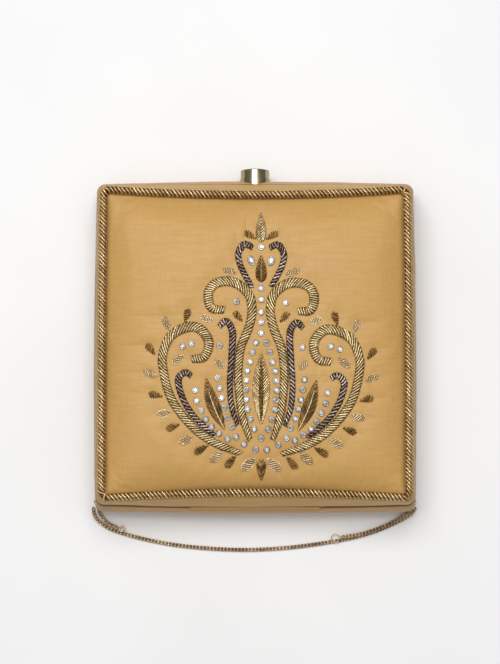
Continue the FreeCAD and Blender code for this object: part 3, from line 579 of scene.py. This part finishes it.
def open_for_lock(piece):
    """Opens a round hole where the lock's collar stands, with its edge drawn onto the circle."""
    cloth = bmesh.new()
    cloth.from_mesh(piece.data)
    near = []
    for vertex in cloth.verts:
        away = Vector((vertex.co.x, 0, vertex.co.z - WIDEST_Z * MM))
        if vertex.co.y > 0.075 and away.length < LOCK_HOLE_R * MM:
            near.append((vertex, away))
    inside = {vertex for vertex, _ in near}
    gone = [face for face in cloth.faces if inside.issuperset(face.verts)]
    bmesh.ops.delete(cloth, geom=gone, context="FACES")
    for vertex, away in near:
        if vertex.is_valid:
            vertex.co += away * (LOCK_HOLE_R * MM / away.length - 1)
    cloth.to_mesh(piece.data)
    cloth.free()


def turned_edge(ring_at, edge, hand):
    """Rings of a cover's rolled edge, from inside its mouth round to its outside."""
    profile = [(0.05, 3.0), (0.05, 2.2), (0.05, 1.6), (0.05, 1.1), (0.14, 0.75), (0.36, 0.4), (0.75, 0.12)]
    return [ring_at(edge + hand * away, inner) for away, inner in profile]


def back_silk():
    top = SEAM_Z - SEAM_GAP
    rings = turned_edge(back_ring, top, -1)
    rings += [creased(back_ring(z, 0.0), 0.28, 3.1) for z in np.linspace(top - 1.4, WIDEST_Z, 9)]
    for angle in np.radians(np.linspace(6, 88, 12)):
        rings.append(creased(back_ring(WIDEST_Z * (1 - sin(angle)), 0.0), 0.28 * cos(angle), 3.1))
    base = outline(inset(BACK_HALF, BACK_ROLL), BACK_SAG, 8.0, 0.05)
    rings += [base * (share, share, 1) for share in (1.0, 0.93, 0.7, 0.4, 0.12)]
    rings = [notched(ring, -1) for ring in rings]
    piece = loft_piece("back_silk", rings, SILK_SIDES, "root", cap=True)
    # Painted shade along the seam's crevice and on the flanks of the back's silk.
    store(piece, "painted_shade", painted_shade_share(rings, SEAM_Z - 1.1, SEAM_Z - 1.6))
    open_for_lock(piece)
    stand_in("back_cover")
    return piece


def hinge_silk():
    """Strip of the lid's silk drawn over its row of knuckles, down to the seam."""
    turn = np.radians(np.linspace(171.5, 81.5, 12))
    arcs = [np.stack([HINGE_Y + radius * np.cos(turn), SEAM_Z + radius * np.sin(turn)], axis=1)
            for radius in HINGE_STRIP_RADII]
    section = np.concatenate([arcs[0], arcs[1][::-1]])
    count, along = len(section), np.linspace(-HINGE_STRIP_HALF, HINGE_STRIP_HALF, 90)
    points = [(x, y + 0.03 * sin(x * 2.1), z) for x in along for y, z in section]
    faces = grid_faces(len(along), count, True)[:, ::-1].tolist()
    faces += [list(range(count)), list(range(len(points) - count, len(points)))[::-1]]
    piece = mesh_piece("hinge_silk", points, faces, SILK, "lid")
    # Painted shade along the strip's lower edge, for the shadow in the seam.
    store(piece, "painted_shade", [0.8 * max(0.0, min(1.0, (22.75 - z) / 0.3)) for _, _, z in points])
    stand_in("hinge_cover")
    return piece


def lid_side_silk():
    low = SEAM_Z + SEAM_GAP
    rings = turned_edge(lid_ring, low, 1)
    rings += [creased(lid_ring(z, 0.0), 0.35, 7.7) for z in np.linspace(low + 1.4, LEDGE_Z - 0.9, 16)]
    rings += [lid_ring(LEDGE_Z - 0.3, 0.15), lid_ring(LEDGE_Z, 0.8), lid_ring(LEDGE_Z + 0.05, 2.2)]
    rings.append(outline(inset(PILLOW_HALF, -0.4), PILLOW_SAG, 3.0, LEDGE_Z + 0.1))
    rings = [notched(ring, 1) for ring in rings]
    piece = loft_piece("lid_side_silk", rings, SILK, "lid")
    # Painted shade along the seam's crevice and on the flanks of the lid's silk.
    store(piece, "painted_shade", painted_shade_share(rings, SEAM_Z + 0.4, SEAM_Z + 0.9))
    stand_in("lid_cover")
    hinge_silk()


# Padded front, blown out by cloth simulation between the places where it is held down


def dome_z(x, y):
    u, v = np.abs(x / PILLOW_HALF[0]), np.abs(y / PILLOW_HALF[1])
    shoulder = PILLOW_SHOULDER * np.clip(1 - u ** 36, 0, 1) * np.clip(1 - v ** 36, 0, 1)
    return PILLOW_RIM_Z + shoulder + (PILLOW_CROWN - PILLOW_SHOULDER) * (1 - u ** 4) * (1 - v ** 4)


def motif_point(x, y):
    return x + MOTIF_X, y - MOTIF_SLOPE * x


def smooth_path(points, step):
    """Even places along a smooth curve through the points."""
    ends = [2 * points[0] - points[1]] + list(points) + [2 * points[-1] - points[-2]]
    share = np.linspace(0, 1, 24, endpoint=False)[:, None]
    runs = []
    for a, b, c, d in zip(ends, ends[1:], ends[2:], ends[3:]):
        bent = (2 * a - 5 * b + 4 * c - d) * share ** 2 + (3 * b - a - 3 * c + d) * share ** 3
        runs.append(0.5 * (2 * b + (c - a) * share + bent))
    line = np.concatenate(runs + [points[-1][None]])
    lengths = running_length(line)
    at = np.linspace(0, lengths[-1], int(lengths[-1] / step) + 1)
    return places_at(at, lengths, line), lengths[-1]


def motif_line(points, side, step):
    return smooth_path(np.array([motif_point(side * x, y) for x, y in points]), step)


def leaf_frame(leaf, side):
    """A leaf's middle, the way to its outer end, and the way across it, mirrored for side -1."""
    x, y, _, _, direction = leaf
    lean = radians(direction)
    run, across = np.array((side * cos(lean), sin(lean))), np.array((-side * sin(lean), cos(lean)))
    return np.array(motif_point(side * x, y)), run, across


ALL_SCROLLS = [(CENTRAL_SCROLL, GOLD_WIDTH), (OUTER_SCROLL, GOLD_WIDTH), (HOOK_SCROLL, DARK_WIDTH),
               (INNER_DARK_SCROLL, DARK_WIDTH), (OUTER_DARK_SCROLL, DARK_WIDTH)]


def held_down(points):
    """Which points of the front lie under the embroidery's stitches."""
    held = np.zeros(len(points), bool)
    for route, width in ALL_SCROLLS:
        for side in (-1, 1):
            for place in motif_line(route, side, 1.2)[0]:
                held |= np.hypot(*(points[:, :2] - place).T) < width * 0.5
    for leaf in LIGHT_LEAVES + BRONZE_LEAVES + [LONG_LEAF, CENTRE_LEAF, TOP_LEAF, UPPER_BRONZE_LEAF]:
        for side in (-1, 1):
            centre, run, across = leaf_frame(leaf, side)
            away = points[:, :2] - centre
            held |= (away @ run / leaf[2]) ** 2 + (away @ across / leaf[3]) ** 2 < 0.22
    return held


def front_grid(columns, rows):
    """The front's points: its top and bottom bow outwards at their ends, as its frame does."""
    u, v = np.meshgrid(np.linspace(-1, 1, columns), np.linspace(-1, 1, rows))
    x = u * (PILLOW_HALF[0] + 0.3 - PILLOW_SAG[0] * v ** 2)
    y = v * (PILLOW_HALF[1] + 0.3 - PILLOW_SAG[1] * u ** 2)
    return np.stack([x, y, dome_z(x, y)], axis=-1).reshape(-1, 3)


def blow_out(obj, start, held):
    """Cloth simulation at twenty times size, of slack cloth that air lifts by CLOTH_REACH at most."""
    scale = 20
    sim = obj.copy()
    sim.data = obj.data.copy()
    bpy.context.scene.collection.objects.link(sim)
    sim.data.vertices.foreach_set("co", (start * MM * scale).ravel())
    group = sim.vertex_groups.new(name="held")
    group.add(np.flatnonzero(held).tolist(), 1.0, "REPLACE")
    cloth = sim.modifiers.new("Cloth", "CLOTH")
    settings = cloth.settings
    settings.quality, settings.mass, settings.air_damping = 7, 0.02, 4.0
    settings.tension_stiffness = settings.compression_stiffness = 18
    settings.shear_stiffness, settings.bending_stiffness = 6, 0.15
    settings.vertex_group_mass = "held"
    settings.use_pressure, settings.uniform_pressure_force = True, 3.0
    settings.shrink_min = -0.012
    settings.effector_weights.gravity = 0
    cloth.collision_settings.use_collision = False
    cloth.point_cache.frame_end = 24
    for step in range(1, 25):
        bpy.context.scene.frame_set(step)
    shown = sim.evaluated_get(bpy.context.evaluated_depsgraph_get())
    blown = np.empty(len(start) * 3)
    shown.data.vertices.foreach_get("co", blown)
    bpy.data.objects.remove(sim)
    bpy.context.scene.frame_set(1)
    moved = blown.reshape(-1, 3) / (MM * scale) - start
    size = np.linalg.norm(moved, axis=1, keepdims=True)
    return start + moved * np.minimum(1, CLOTH_REACH / np.maximum(size, 1e-6))


def near_edge(rows, columns, depth):
    """Which points of a grid lie in its outermost rows and columns."""
    inside = np.zeros((rows - 2 * depth, columns - 2 * depth), bool)
    return np.pad(inside, depth, constant_values=True).ravel()


def front_silk():
    columns, rows = 118, 116
    start = front_grid(columns, rows)
    piece = mesh_piece("front_silk", start, grid_faces(rows, columns, False), SILK, "lid")
    held = held_down(start) | near_edge(rows, columns, 2)
    shape = blow_out(piece, start, held)
    shape[near_edge(rows, columns, 1), 2] = LEDGE_Z + 0.15
    piece.data.vertices.foreach_set("co", (shape * MM).ravel())
    smooth = piece.modifiers.new("smooth", "SUBSURF")
    smooth.levels = smooth.render_levels = 1
    stand_in("lid_cover")
    return piece


def lid_foam():
    columns = rows = 60
    top = front_grid(columns, rows)
    top[:, :2] *= 0.975
    top[:, 2] -= 1.4
    low = top.copy()
    low[:, 2] = 35.7
    quads = grid_faces(rows, columns, False)
    count = len(top)
    grid = np.arange(count).reshape(rows, columns)
    border = np.concatenate([grid[0], grid[1:, -1], grid[-1, -2::-1], grid[-2:0:-1, 0]])
    onward = np.roll(border, -1)
    walls = np.stack([border + count, onward + count, onward, border], axis=1)
    faces = np.concatenate([quads, quads[:, ::-1] + count, walls])
    piece = mesh_piece("lid_foam", np.concatenate([top, low]), faces, FOAM, "lid")
    stand_in("lid_padding")


def back_foam():
    edge = inset(BACK_HALF, BACK_ROLL + 1.0)
    profile = [(55, 0.9), (30, 0.9), (0.6, 0.9), (0.1, 1.1), (0, 1.6), (0.1, 2.1), (0.6, 2.35), (30, 2.38)]
    rings = [outline(inset(edge, away), BACK_SAG, CORNER, z) for away, z in profile]
    piece = loft_piece("back_foam", rings, FOAM, "root", cap=True)
    stand_in("back_padding")


def gathered(ring, depth, seed):
    """Small soft tucks that run down a lining's walls."""
    out = unit(ring[:, :2])
    for index, (x, y, z) in enumerate(ring):
        tuck = noise.noise(Vector((x * 0.3 + seed, y * 0.3, z * 0.05)))
        ring[index, :2] += out[index] * tuck * depth
    return ring


def back_lining():
    rings = []
    for z in np.linspace(14.7, WIDEST_Z - 0.3, 3):
        rings.append(gathered(back_ring(z, 2.95, 4.1), 0.2, 5.0))
    for angle in np.radians(np.linspace(8, 86, 10)):
        z = WIDEST_Z - (WIDEST_Z - 4.4) * sin(angle)
        rings.append(gathered(back_ring(z, 2.95, 4.4), 0.2, 5.0))
    base = rings[-1].copy()
    base[:, 2] = 4.42
    rings += [base * (share, share, 1) for share in (0.96, 0.8, 0.55, 0.25)]
    for ring in rings:
        close = (ring[:, 1] > 60) & (np.abs(ring[:, 0]) < 8.3)
        low = WIDEST_Z - np.sqrt(np.maximum(8.3 ** 2 - ring[close, 0] ** 2, 0))
        ring[close, 2] = np.minimum(ring[close, 2], low)
    piece = loft_piece("back_satin", rings, LINING, "root", cap=True)
    stand_in("back_lining")


def lid_lining():
    low, ceiling = SEAM_Z + SEAM_GAP + 6.9, 33.6
    rings = [gathered(lid_ring(z, 2.9), 0.15, 9.0) for z in np.linspace(low, ceiling - 1.2, 4)]
    rings += [lid_ring(ceiling - 0.35, 3.2), lid_ring(ceiling, 4.0)]
    rings += [lid_ring(ceiling, 4.0) * (share, share, 1) for share in (0.9, 0.6, 0.3)]
    piece = loft_piece("lid_satin", rings, LINING, "lid", cap=True)
    stand_in("lid_lining")


back_silk()
lid_side_silk()
FRONT = front_silk()
lid_foam()
back_foam()
back_lining()
lid_lining()


# Embroidery, laid on the front as it came out


FRONT_TREE = BVHTree.FromObject(FRONT, bpy.context.evaluated_depsgraph_get())


def surface(x, y):
    hit, normal, _, _ = FRONT_TREE.ray_cast(Vector((x * MM, y * MM, 0.09)), Vector((0, 0, -1)))
    if hit is None:
        return dome_z(x, y), Vector((0, 0, 1))
    return hit.z / MM, normal


def laid(points, lifts):
    """Points on the front, each lifted by its own amount."""
    heights = [surface(x, y)[0] for x, y in points]
    return np.column_stack([points, np.array(heights) + lifts])


def scroll_width(share, width):
    """A scroll swells round its curl, thins along its tail, and closes at both ends."""
    swell = 1 + 0.15 * np.exp(-(((share - 0.22) / 0.15) ** 2)) - 0.1 * max(0.0, share - 0.4)
    return width * swell * min(1.0, 0.86 + 4 * share, 0.66 + 3 * (1 - share))


def scroll_stitches(route, side, width, pitch, wire, pad):
    """Slanted coils laid side by side over a padded band; also the band's own rows of points."""
    places, length = motif_line(route, side, 0.5)
    run = np.linspace(0, length, len(places))
    along = unit(np.gradient(places, axis=0))
    out = np.stack([-along[:, 1], along[:, 0]], axis=1)
    turning = np.cross(along[:12].mean(axis=0), along[len(along) // 5])
    hand = 1 if turning > 0 else -1

    def at(where, across):
        where = np.clip(where, 0, length)
        return places_at(where, run, places) + places_at(where, run, out) * across[:, None]

    lines, start = [], pitch / 2
    while start < length:
        share = start / length
        half = scroll_width(share, width) / 2
        slant = radians(np.interp(share, *SLANT) + rng.uniform(-3, 3))
        across = np.linspace(-1, 1, 9) * half
        lift = pad * np.sqrt(np.clip(1 - (across / half) ** 2, 0, 1)) + wire * 0.4
        lift[[0, -1]] = -0.1
        lines.append(laid(at(start + hand * across / tan(slant), across), lift + rng.uniform(-0.06, 0.06)))
        start += pitch / sin(slant)
    rows = []
    for where in np.arange(0, length, 1.0):
        half = scroll_width(where / length, width) / 2 * 0.92
        across = np.linspace(-1, 1, 7) * half
        lift = (pad - 0.1) * np.sqrt(np.clip(1 - (across / half) ** 2, 0, 1))
        rows.append(laid(at(np.full(7, where), across), lift))
    return lines, rows


def band_piece(name, bands, material):
    points, faces, base = [], [], 0
    for rows in bands:
        points.append(np.concatenate(rows))
        faces.append(grid_faces(len(rows), 7, False) + base)
        base += len(rows) * 7
    piece = mesh_piece(name, np.concatenate(points), np.concatenate(faces), material, "lid")
    store(piece, "run", np.zeros(base))
    store(piece, "tone", np.full(base, 0.4))
    return piece


def embroidered_bands(name, node, routes, width, pitch, wire, pad, coil, core):
    lines, bands = [], []
    for route in routes:
        for side in (-1, 1):
            stitches, rows = scroll_stitches(route, side, width, pitch, wire, pad)
            lines += stitches
            bands.append(rows)
    thickness = wire * np.array([0.5, 0.9, 1, 1, 1, 1, 1, 0.9, 0.5])
    coils = tube_piece(name + "_coils", lines, thickness, 7, coil, "lid")
    padding = band_piece(name + "_core", bands, core)
    for piece in (coils, padding):
        stand_in(node)


def leaf_half_width(share, width, shape):
    """Half width of a leaf at a share of the way from its middle to its outer or inner end."""
    widest, outer, inner = shape
    beyond = share > widest
    away = np.where(beyond, (share - widest) / (1 - widest), (widest - share) / (1 + widest))
    return width / 2 * np.maximum(0.03, 1 - np.clip(away, 0, 1) ** np.where(beyond, outer, inner))


def on_leaf(leaf, side, along, aside):
    """Places on a leaf, from their distances along it and across it."""
    centre, run, across = leaf_frame(leaf, side)
    return centre + run * along[:, None] + across * aside[:, None]


def bowed(along, length, bow):
    return bow * (1 - (along / (length / 2)) ** 2)


def herringbone(leaf, shape, side, pitch, pad, low=0.0, bow=0.0):
    """Coils from a leaf's edge back towards its inner end, meeting in V shapes at its spine."""
    length, width = leaf[2:4]
    ends = np.linspace(low, 1.0, 6)
    lines = []
    for tip in np.arange(-length / 2 + 0.9, length / 2, pitch):
        reach = float(leaf_half_width(tip / (length / 2), width, shape))
        along = np.maximum(tip - (1 - ends) * reach * 1.3, -length / 2 + 0.3)
        lift = pad * np.sqrt(np.clip(1.02 - ends ** 2, 0, 1)) + 0.15
        lift[-1] = -0.05
        for hand in (-1, 1):
            aside = np.minimum(ends * reach, leaf_half_width(along / (length / 2), width, shape)) * hand
            flat = on_leaf(leaf, side, along, aside + bowed(along, length, bow))
            lines.append(laid(flat, lift + rng.uniform(-0.05, 0.05)))
    return lines


def slanted(leaf, shape, side, pitch, slant, pad):
    """Parallel coils laid aslant over a small leaf, each ending at its edge."""
    length, width = leaf[2:4]
    onward, aside = cos(radians(slant)), sin(radians(slant))
    reach = np.linspace(-width, width, 101)
    lines = []
    for start in np.arange(-0.75 * length, 0.75 * length, pitch / aside):
        share = (start + reach * onward) / (length / 2)
        inside = (np.abs(share) < 1) & (np.abs(reach * aside) < leaf_half_width(share, width, shape))
        if np.count_nonzero(inside) < 9:
            continue
        ends = np.linspace(reach[inside][0], reach[inside][-1], 6)
        flat = on_leaf(leaf, side, start + ends * onward, ends * aside)
        lift = pad * np.array([0.0, 0.75, 1.0, 1.0, 0.75, 0.0]) + 0.1
        lines.append(laid(flat, lift + rng.uniform(-0.05, 0.05)))
    return lines


def leaf_rim(leaf, shape, side, lift):
    """One coil round a leaf's edge."""
    length, width = leaf[2:4]
    turn = np.linspace(0, 2 * pi, 41)[:-1]
    reach = leaf_half_width(np.cos(turn), width, shape) * np.sign(np.sin(turn))
    return laid(on_leaf(leaf, side, np.cos(turn) * length / 2, reach), lift)


def leaf_vein(leaf, side, low, high, lift, bow=0.0):
    """One coil along a leaf's spine, between two shares of its length."""
    along = np.linspace(low, high, 24) * leaf[2]
    return laid(on_leaf(leaf, side, along, bowed(along, leaf[2], bow)), lift)


def coil_piece(name, node, lines, wire, material, closed=False):
    """Coils as round tubes, each thinner towards its ends unless it is a closed one."""
    taper = 1.0 if closed else np.interp(np.linspace(0, 1, len(lines[0])), [0, 0.2, 0.7, 1], [0.8, 1, 1, 0.6])
    piece = tube_piece(name, lines, wire * taper, 6, material, "lid", closed=closed)
    stand_in(node)


def small_leaves(leaves, shape, pitch, slant, pad):
    pairs = [(leaf, side) for leaf in leaves for side in (-1, 1)]
    return [line for leaf, side in pairs for line in slanted(leaf, shape, side, pitch, slant, pad)]


def make_leaves():
    both = (-1, 1)
    bronze = small_leaves(BRONZE_LEAVES, DROP, 0.95, 52, 0.75)
    for side in both:
        bronze += herringbone(LONG_LEAF, POINTED, side, 1.2, 0.9, bow=-1.2)
    bronze += herringbone(UPPER_BRONZE_LEAF, HEAVY_FOOT, 1, 1.15, 1.0)
    bronze += herringbone(BOTTOM_BRONZE_LEAF, HEAVY_HEAD, 1, 1.1, 0.9)
    coil_piece("bronze_leaf_coils", "bronze_leaves", bronze, 0.36, BRONZE_THREAD)
    light = small_leaves(LIGHT_LEAVES, OVAL, 1.0, 50, 0.5)
    light += herringbone(TOP_LEAF, HEAVY_FOOT, 1, 1.1, 0.9)
    coil_piece("light_leaf_coils", "light_leaves", light, 0.34, LIGHT_THREAD)
    rims = [leaf_rim(leaf, OVAL, side, 0.2) for leaf in LIGHT_LEAVES for side in both]
    coil_piece("light_leaf_rims", "light_leaves", rims, 0.28, LIGHT_THREAD, closed=True)
    veins = [leaf_vein(LONG_LEAF, side, -0.5, 0.25, 1.15, -1.2) for side in both]
    veins.append(leaf_vein(UPPER_BRONZE_LEAF, 1, -0.45, 0.15, 1.25))
    coil_piece("leaf_veins", "bronze_leaves", veins, 0.3, LIGHT_THREAD)
    outer = herringbone(CENTRE_LEAF, POINTED, 1, 1.2, 0.8, low=0.25)
    coil_piece("centre_leaf_gold", "centre_leaf", outer, 0.38, GOLD)
    inner = herringbone(CENTRE_STRIP, POINTED, 1, 1.1, 1.1)
    coil_piece("centre_leaf_bronze", "centre_leaf", inner, 0.34, BRONZE_THREAD)


embroidered_bands(
    "gold_scroll", "gold_scrolls", [CENTRAL_SCROLL, OUTER_SCROLL],
    GOLD_WIDTH, 1.08, 0.42, 0.95, GOLD, CORE,
)
embroidered_bands(
    "dark_scroll", "dark_scrolls", [HOOK_SCROLL, INNER_DARK_SCROLL, OUTER_DARK_SCROLL],
    DARK_WIDTH, 1.3, 0.46, 0.8, GUNMETAL, DARK_CORE,
)
make_leaves()


# Crystals in their settings


def cut_points(stretch):
    """A round cut: table, crown and girdle rings, from the top down."""
    rings = []
    for offset, radius, height in ((0.0, 0.62, 1.02), (0.5, 0.98, 0.74), (0.0, 1.22, 0.3), (0.0, 1.2, 0.0)):
        turn = 2 * pi * (np.arange(8) + offset) / 8
        rings.append(np.column_stack([radius * np.cos(turn) * stretch[0], radius * np.sin(turn) * stretch[1],
                                      np.full(8, height)]))
    return np.concatenate(rings)


def cut_faces():
    faces = [list(range(8))]
    for level in range(2):
        a, b = level * 8, (level + 1) * 8
        for index in range(8):
            after = (index + 1) % 8
            if level == 0:
                faces += [[a + index, b + index, a + after], [a + after, b + index, b + after]]
            else:
                faces += [[a + index, b + index, b + after], [a + index, b + after, a + after]]
    faces += [[16 + index, 24 + index, 24 + (index + 1) % 8, 16 + (index + 1) % 8] for index in range(8)]
    return faces


def set_stones(name, node, places):
    """places: x, y, stretch along and across, and turn in degrees."""
    points, faces, tones, rings = [], [], [], []
    for x, y, stretch, turn in places:
        height, normal = surface(x, y)
        upright = Vector((0, 0, 1)).rotation_difference(normal).to_matrix()
        tilt = np.array(upright @ Matrix.Rotation(radians(turn), 3, "Z"))
        base = np.array((x, y, height)) + np.array(normal) * 0.35
        faces += [[index + len(points) * 32 for index in face] for face in cut_faces()]
        # Painted reflections: each facet of a stone gets a random brightness, and the table gets one of
        # three.
        tones += [rng.choice((0.1, 0.5, 0.9))] + [rng.random() ** 0.6 for _ in range(32)] + [0.5] * 8
        points.append(cut_points(stretch) @ tilt.T + base)
        around = np.linspace(0, 2 * pi, 21)[:-1]
        edge = [1.3 * np.cos(around) * stretch[0], 1.3 * np.sin(around) * stretch[1], np.full(20, 0.1)]
        rings.append(np.column_stack(edge) @ tilt.T + base)
    stones = mesh_piece(name, np.concatenate(points), faces, CRYSTAL, "lid", smooth=False)
    store(stones, "tone", tones, "FACE")
    settings = tube_piece(name + "_settings", rings, 0.26, 7, SETTING, "lid", closed=True)
    for piece in (stones, settings):
        stand_in(node)


def make_stones():
    spots = [(0, y) for y in STONE_COLUMN] + [(side * x, y) for x, y in STONE_PAIRS for side in (-1, 1)]
    places = [(*motif_point(x, y), (1, 1), rng.uniform(0, 45)) for x, y in spots]
    set_stones("round_crystals", "round_stones", places)
    x, y = OVAL_STONE
    ovals = [(*motif_point(side * x, y), (1.75, 1.05), 90 - side * 20) for side in (-1, 1)]
    set_stones("oval_crystals", "oval_stones", ovals)


make_stones()


# Cord round the front: coils of bright and dark wire laid slantwise over a core


def border_places(step):
    ring = outline(CORD_HALF, CORD_SAG, CORD_CORNER, CORD_Z)
    closed = np.concatenate([ring, ring[:1]])
    lengths = running_length(closed)
    count = int(round(lengths[-1] / step / 2)) * 2
    return places_at(np.arange(count) * lengths[-1] / count, lengths, closed)


def border_coils():
    places = border_places(COIL_STEP)
    along = unit(np.roll(places, -1, axis=0) - np.roll(places, 1, axis=0))
    out = np.cross(along, (0.0, 0.0, 1.0))
    count = len(places)
    lines = []
    angles = np.radians(np.linspace(-100, 100, 11))
    for index in range(count):
        level = along[index, 0] ** 2
        lean = 0.87 * level - 1.15 * (1 - level)
        reach = CORD_R - (0.44, 0.72)[index % 2] + rng.uniform(-0.05, 0.05)
        across, rise = np.sin(angles) * reach, np.cos(angles) * reach
        where = (index + across * lean / COIL_STEP) % count
        low = np.floor(where).astype(int)
        part = (where - low)[:, None]
        base = places[low] * (1 - part) + places[(low + 1) % count] * part
        outward = out[low] * (1 - part) + out[(low + 1) % count] * part
        lines.append(base + outward * across[:, None] + np.array((0, 0, 1.0)) * rise[:, None])
    return lines[::2], lines[1::2]


def make_border():
    core = border_places(1.5)
    padding = tube_piece("border_core", [core], CORD_R - 0.75, 12, DARK_CORE, "lid", tones=[0.6], closed=True)
    bright, dark = border_coils()
    gold = tube_piece("border_gold_coils", bright, 0.45, 7, CORD_GOLD, "lid")
    brown = tube_piece("border_dark_coils", dark, 0.36, 7, CORD_DARK, "lid")
    for piece in (padding, gold, brown):
        stand_in("border_cord")


make_border()


# Spring behind the knob, made at its rest length; the real one shortens towards its fixed end when the knob
# is pressed


def make_spring():
    turn = np.linspace(0, 2 * pi * SPRING_TURNS, 24 * SPRING_TURNS + 1)
    along = np.linspace(SPRING_LOW_Y + 0.05 + SPRING_WIRE_R, SPRING_HIGH_Y - SPRING_WIRE_R, len(turn))
    coil = np.stack([SPRING_R * np.cos(turn), along, WIDEST_Z + SPRING_R * np.sin(turn)], axis=1)
    piece = tube_piece("spring_coil", [coil], SPRING_WIRE_R, 10, STEEL, "root", ups=(0.0, 1.0, 0.0))
    stand_in("knob_spring")
    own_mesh(piece)


make_spring()


# Metal and board parts that keep the shape they have


def dress(names, material):
    for name in names:
        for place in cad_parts[name].material_slots:
            place.material = material


dress(["push_knob", "lock_collar"], BRASS)
dress(["back_frame", "lid_frame", "back_rivets", "lid_rivets"], FRAME_METAL)
dress(["lock_housing", "housing_bracket", "latch_slide", "lid_catch"], STEEL)
dress(["chain_lugs", "corner_rings", "hinge_knuckles_back", "hinge_knuckles_lid", "hinge_pin"], BRONZE)
dress(["back_board", "lid_board"], BOARD)


# Floor and light


def make_floor():
    mesh = bpy.data.meshes.new("floor")
    reach = 2.5
    corners = [(x * reach, y * reach, -0.0001) for x, y in ((-1, -1), (1, -1), (1, 1), (-1, 1))]
    mesh.from_pydata(corners, [], [(0, 1, 2, 3)])
    material, tree, shader = material_of("floor_pale", {"Roughness": 0.6, "Specular IOR Level": 0.2})
    grain = speckle(tree, (9, 9, 9), 2.0)
    feed(shader.inputs["Base Color"], ramp(tree, grain, [(0.3, (0.84,)), (0.7, (0.88,))]))
    mesh.materials.append(material)
    floor = add_object("floor", mesh)


def make_light():
    data = bpy.data.lights.new("light_top", "AREA")
    data.shape, data.size, data.size_y, data.energy = "RECTANGLE", 0.8, 0.6, 11.5
    light = add_object("light_top", data)
    light.location = place = Vector((-0.10, 0.38, 1.30))
    light.rotation_euler = (Vector((0, 0, 0.02)) - place).to_track_quat("-Z", "Y").to_euler()
    world = bpy.data.worlds.new("studio")
    world.use_nodes = True
    tree = world.node_tree
    direction = add(tree, "ShaderNodeTexCoord").outputs["Generated"]
    height = add(tree, "ShaderNodeSeparateXYZ", {"Vector": direction}).outputs["Z"]
    sky = ramp(tree, height, [(0.0, (0.24,)), (0.6, (0.3,)), (0.84, (0.42,)), (0.89, (1.1,))])
    feed(tree.nodes["Background"].inputs["Color"], sky)
    bpy.context.scene.world = world
    bpy.context.scene.view_settings.view_transform = "Standard"


make_floor()
make_light()
